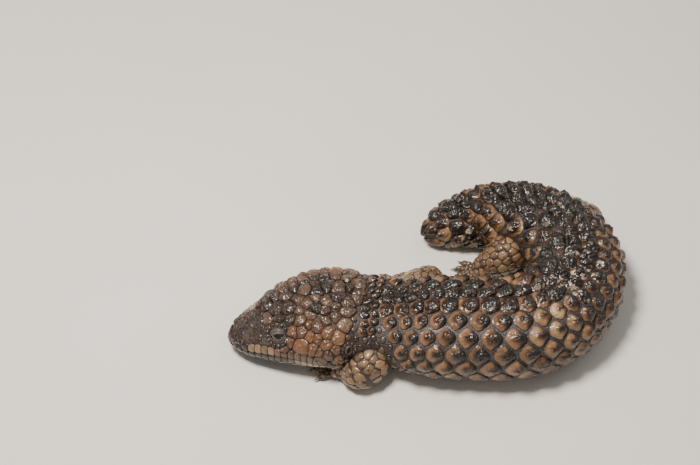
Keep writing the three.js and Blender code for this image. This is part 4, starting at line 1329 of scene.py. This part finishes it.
class SKINK_OT_body_scales(bpy.types.Operator):
    """Make the keeled scales of neck, trunk and tail and the flat ones of the underside"""

    bl_idname = "skink.body_scales"
    bl_label = "Body scales"
    bl_options = {"REGISTER", "UNDO"}

    def execute(self, context):
        look, head_colours = context.scene.skink_look, context.scene.skink_head
        keeled_paint = scale_paint("body_scales", look, context.scene.skink_body, crescent=True)
        small_paint = scale_paint("small_scales", look, head_colours)
        belly_paint = scale_paint("belly_scales", look, head_colours)
        stretches = [
            ("neck", 0, NECK_END + 1, "neck_skin"),
            ("torso_fore", NECK_END + 1, TRUNK_CUTS[0], "body_scutes"),
            ("torso_mid", TRUNK_CUTS[0], TRUNK_CUTS[1], "body_scutes"),
            ("torso_hind", TRUNK_CUTS[1], TRUNK_END, "body_scutes"),
            ("tail", TRUNK_END, LENGTH, "tail_scutes"),
        ]
        for name, start, end, slot in stretches:
            scale_piece("scales_" + name, keeled_paint, slot, ("scute", "back", "nape"), start, end)
        scale_piece("scales_granules", small_paint, "neck_skin", ("granule",))
        scale_piece("scales_belly", belly_paint, "body_scutes", ("belly",))
        scale_piece("scales_throat", belly_paint, "neck_skin", ("throat",))
        return {"FINISHED"}


class SKINK_OT_head_scales(bpy.types.Operator):
    """Make the shields of the head and the plates that edge the mouth"""

    bl_idname = "skink.head_scales"
    bl_label = "Head shields"
    bl_options = {"REGISTER", "UNDO"}

    def execute(self, context):
        material = scale_paint("head_shields", context.scene.skink_look, context.scene.skink_head)
        for name, kinds in (("shields", ("shield",)), ("lips", ("lip", "lower_lip")), ("rims", ("orbital",))):
            scale_piece("head_" + name, material, "head_shields", kinds)
        return {"FINISHED"}


class SKINK_OT_leg_scales(bpy.types.Operator):
    """Make the scales and claws of the four legs"""

    bl_idname = "skink.leg_scales"
    bl_label = "Leg scales and claws"
    bl_options = {"REGISTER", "UNDO"}

    def execute(self, context):
        look, length = context.scene.skink_look, millimetres(context.scene.skink_look.claw_length)
        material = scale_paint("leg_scales", look, context.scene.skink_legs)
        horn = horn_paint(context.scene.skink_skin)
        for limb in animal().limbs:
            sites = limb_sites(limb, animal().tree)
            scales, toes, claws = Shape(), Shape(), Shape()
            add_plates(scales, sites, sites.kind == "leg", sites.edges(), (0, 0, 1, 0.8))
            for k, toe in enumerate(limb.toes):
                small, box = toe_sites(toe, TOE_SEED + k), (0.2 * k, 0, 0.19, 1)
                add_plates(toes, small, small.kind == "toe", small.edges(), box)
                claw, tip = claw_sheet(toe, length)
                add_skin(claws, claw, box, tip=np.repeat(tip, claw.around))
            scales.piece("scales_" + limb.name, material, "leg_skin")
            toes.piece("toes_" + limb.name, material, "foot")
            claws.piece("claws_" + limb.name, horn, "foot")
        return {"FINISHED"}


class SKINK_OT_openings(bpy.types.Operator):
    """Make the eyes with their lids, the nostrils and the ear openings"""

    bl_idname = "skink.openings"
    bl_label = "Eyes, nostrils and ears"
    bl_options = {"REGISTER", "UNDO"}

    def execute(self, context):
        look, colours = context.scene.skink_look, context.scene.skink_skin
        lid_paint = opening_paint("eyelids", look, colours, colours.lids)
        rim_paint = opening_paint("opening_rims", look, colours, colours.rims)
        ball_paint, radius = eye_paint(colours), millimetres(look.eye_radius)

        def over_ball(lift, drop):
            reach = (radius + lift) ** 2
            return lambda x, y: np.sqrt(np.maximum(reach - x * x - y * y, 0)) - drop

        for side, name in ((LEFT, "left"), (RIGHT, "right")):
            eye_at = animal().spot(EYE_AT, side * EYE_SIDE, EYE_DEPTH)
            ball, lids, rims = Shape(), Shape(), Shape()
            turns = np.linspace(0.02, 3.12, EYE_ROWS)
            rows = [(radius * math.sin(t), radius * math.sin(t), radius * math.cos(t)) for t in turns]
            far = np.repeat(np.linspace(0, math.pi, EYE_ROWS), EYE_AROUND)
            add_skin(ball, dome_sheet(*eye_at, rows, EYE_AROUND), (0, 0, 1, 1), far=far)
            ball.piece("eyeball_" + name, ball_paint, "eye", "eye_" + name)

            rows = [(wide, high, over_ball(lift, drop)) for wide, high, lift, drop, _, _ in LID_RINGS]
            # Painted shade: black in the lids' slit, in their groove and where they drop into the skin
            black = np.repeat([row[4] for row in LID_RINGS], LID_AROUND)
            below = 0.5 - 0.5 * side * np.sin(2 * np.pi * np.arange(LID_AROUND) / LID_AROUND)
            pale = np.concatenate([below * row[5] for row in LID_RINGS])
            add_skin(lids, dome_sheet(*eye_at, rows, LID_AROUND), (0, 0, 1, 0.4), inside=black, pale=pale)
            lids.piece("lids_" + name, lid_paint, "eye")

            for i, (at, share, wide, high) in enumerate(HOLES):
                rows = [HOLE_MIDDLE, *((wide * w, high * h, level) for w, h, level in HOLE_RINGS)]
                hole = dome_sheet(*animal().spot(at, side * share), rows, HOLE_AROUND)
                # Painted shade: black inside the opening and where its rim meets the skin
                black = np.repeat(HOLE_SHADE, HOLE_AROUND)
                add_skin(rims, hole, (0.5 * i, 0, 0.45, 1), inside=black, pale=0.0)
            rims.piece("openings_" + name, rim_paint, "head_shields")
        return {"FINISHED"}


def softbox(name, power, size, at, towards):
    """A round lamp at a place, facing another."""
    light = bpy.data.lights.new(name, "AREA")
    light.energy, light.shape, light.size, light.color = power, "DISK", size, LAMP_COLOUR
    thing = bpy.data.objects.new(name, light)
    thing.location = at
    thing.rotation_euler = (Vector(towards) - Vector(at)).to_track_quat("-Z", "Y").to_euler()
    bpy.context.scene.collection.objects.link(thing)


class SKINK_OT_stage(bpy.types.Operator):
    """Set up the floor, the soft light and the camera"""

    bl_idname = "skink.stage"
    bl_label = "Floor, light and camera"
    bl_options = {"REGISTER", "UNDO"}

    def execute(self, context):
        scene, stage = context.scene, context.scene.skink_stage
        half = stage.floor_width / 2
        mesh = bpy.data.meshes.new("floor")
        corners = [(-half, -half, 0), (half, -half, 0), (half, half, 0), (-half, half, 0)]
        mesh.from_pydata(corners, [], [(0, 1, 2, 3)])
        mesh.materials.append(floor_paint(stage))
        floor = bpy.data.objects.new("floor", mesh)
        scene.collection.objects.link(floor)
        target = Vector(stage.target)
        softbox("key_light", stage.key, KEY_SIZE, target + Vector(KEY_PLACE), target)
        softbox("fill_light", stage.fill, FILL_SIZE, target + Vector(FILL_PLACE), target)
        scene.world = bpy.data.worlds.new("room")
        scene.world.use_nodes = True
        background = scene.world.node_tree.nodes["Background"].inputs
        background["Color"].default_value, background["Strength"].default_value = ROOM_COLOUR, stage.room
        camera = bpy.data.cameras.new("camera")
        camera.sensor_width, camera.lens, camera.clip_start = 36, stage.lens, 0.01
        seat = bpy.data.objects.new("camera", camera)
        back = Vector((0, -math.cos(stage.elevation), math.sin(stage.elevation)))
        seat.location = target + back * stage.distance
        seat.rotation_euler = (-back).to_track_quat("-Z", "Y").to_euler()
        scene.collection.objects.link(seat)
        scene.camera = seat
        return {"FINISHED"}


SETTINGS = {
    "skink_look": LookSettings,
    "skink_body": BodyColours,
    "skink_head": HeadColours,
    "skink_legs": LegColours,
    "skink_skin": SkinColours,
    "skink_stage": StageSettings,
}
STEPS = (
    SKINK_OT_stage,
    SKINK_OT_skin,
    SKINK_OT_body_scales,
    SKINK_OT_head_scales,
    SKINK_OT_leg_scales,
    SKINK_OT_openings,
)


class SKINK_PT_panel(bpy.types.Panel):
    """Settings and steps of the shingleback skink"""

    bl_idname = "SKINK_PT_panel"
    bl_label = "Shingleback skink"
    bl_space_type = "VIEW_3D"
    bl_region_type = "UI"
    bl_category = "Shingleback"

    def draw(self, context):
        for step in STEPS:
            self.layout.operator(step.bl_idname)
        for name, kind in SETTINGS.items():
            box = self.layout.box()
            box.label(text=kind.__doc__)
            for key in kind.__annotations__:
                box.prop(getattr(context.scene, name), key)


CLASSES = (*SETTINGS.values(), *STEPS, SKINK_PT_panel)


def register():
    for each in CLASSES:
        bpy.utils.register_class(each)
    for name, kind in SETTINGS.items():
        setattr(bpy.types.Scene, name, PointerProperty(type=kind))


def unregister():
    for name in SETTINGS:
        delattr(bpy.types.Scene, name)
    for each in reversed(CLASSES):
        bpy.utils.unregister_class(each)


def main():
    register()
    bpy.ops.skink.stage()
    bpy.ops.skink.skin()
    bpy.ops.skink.body_scales()
    bpy.ops.skink.head_scales()
    bpy.ops.skink.leg_scales()
    bpy.ops.skink.openings()


if __name__ == "__main__":
    main()
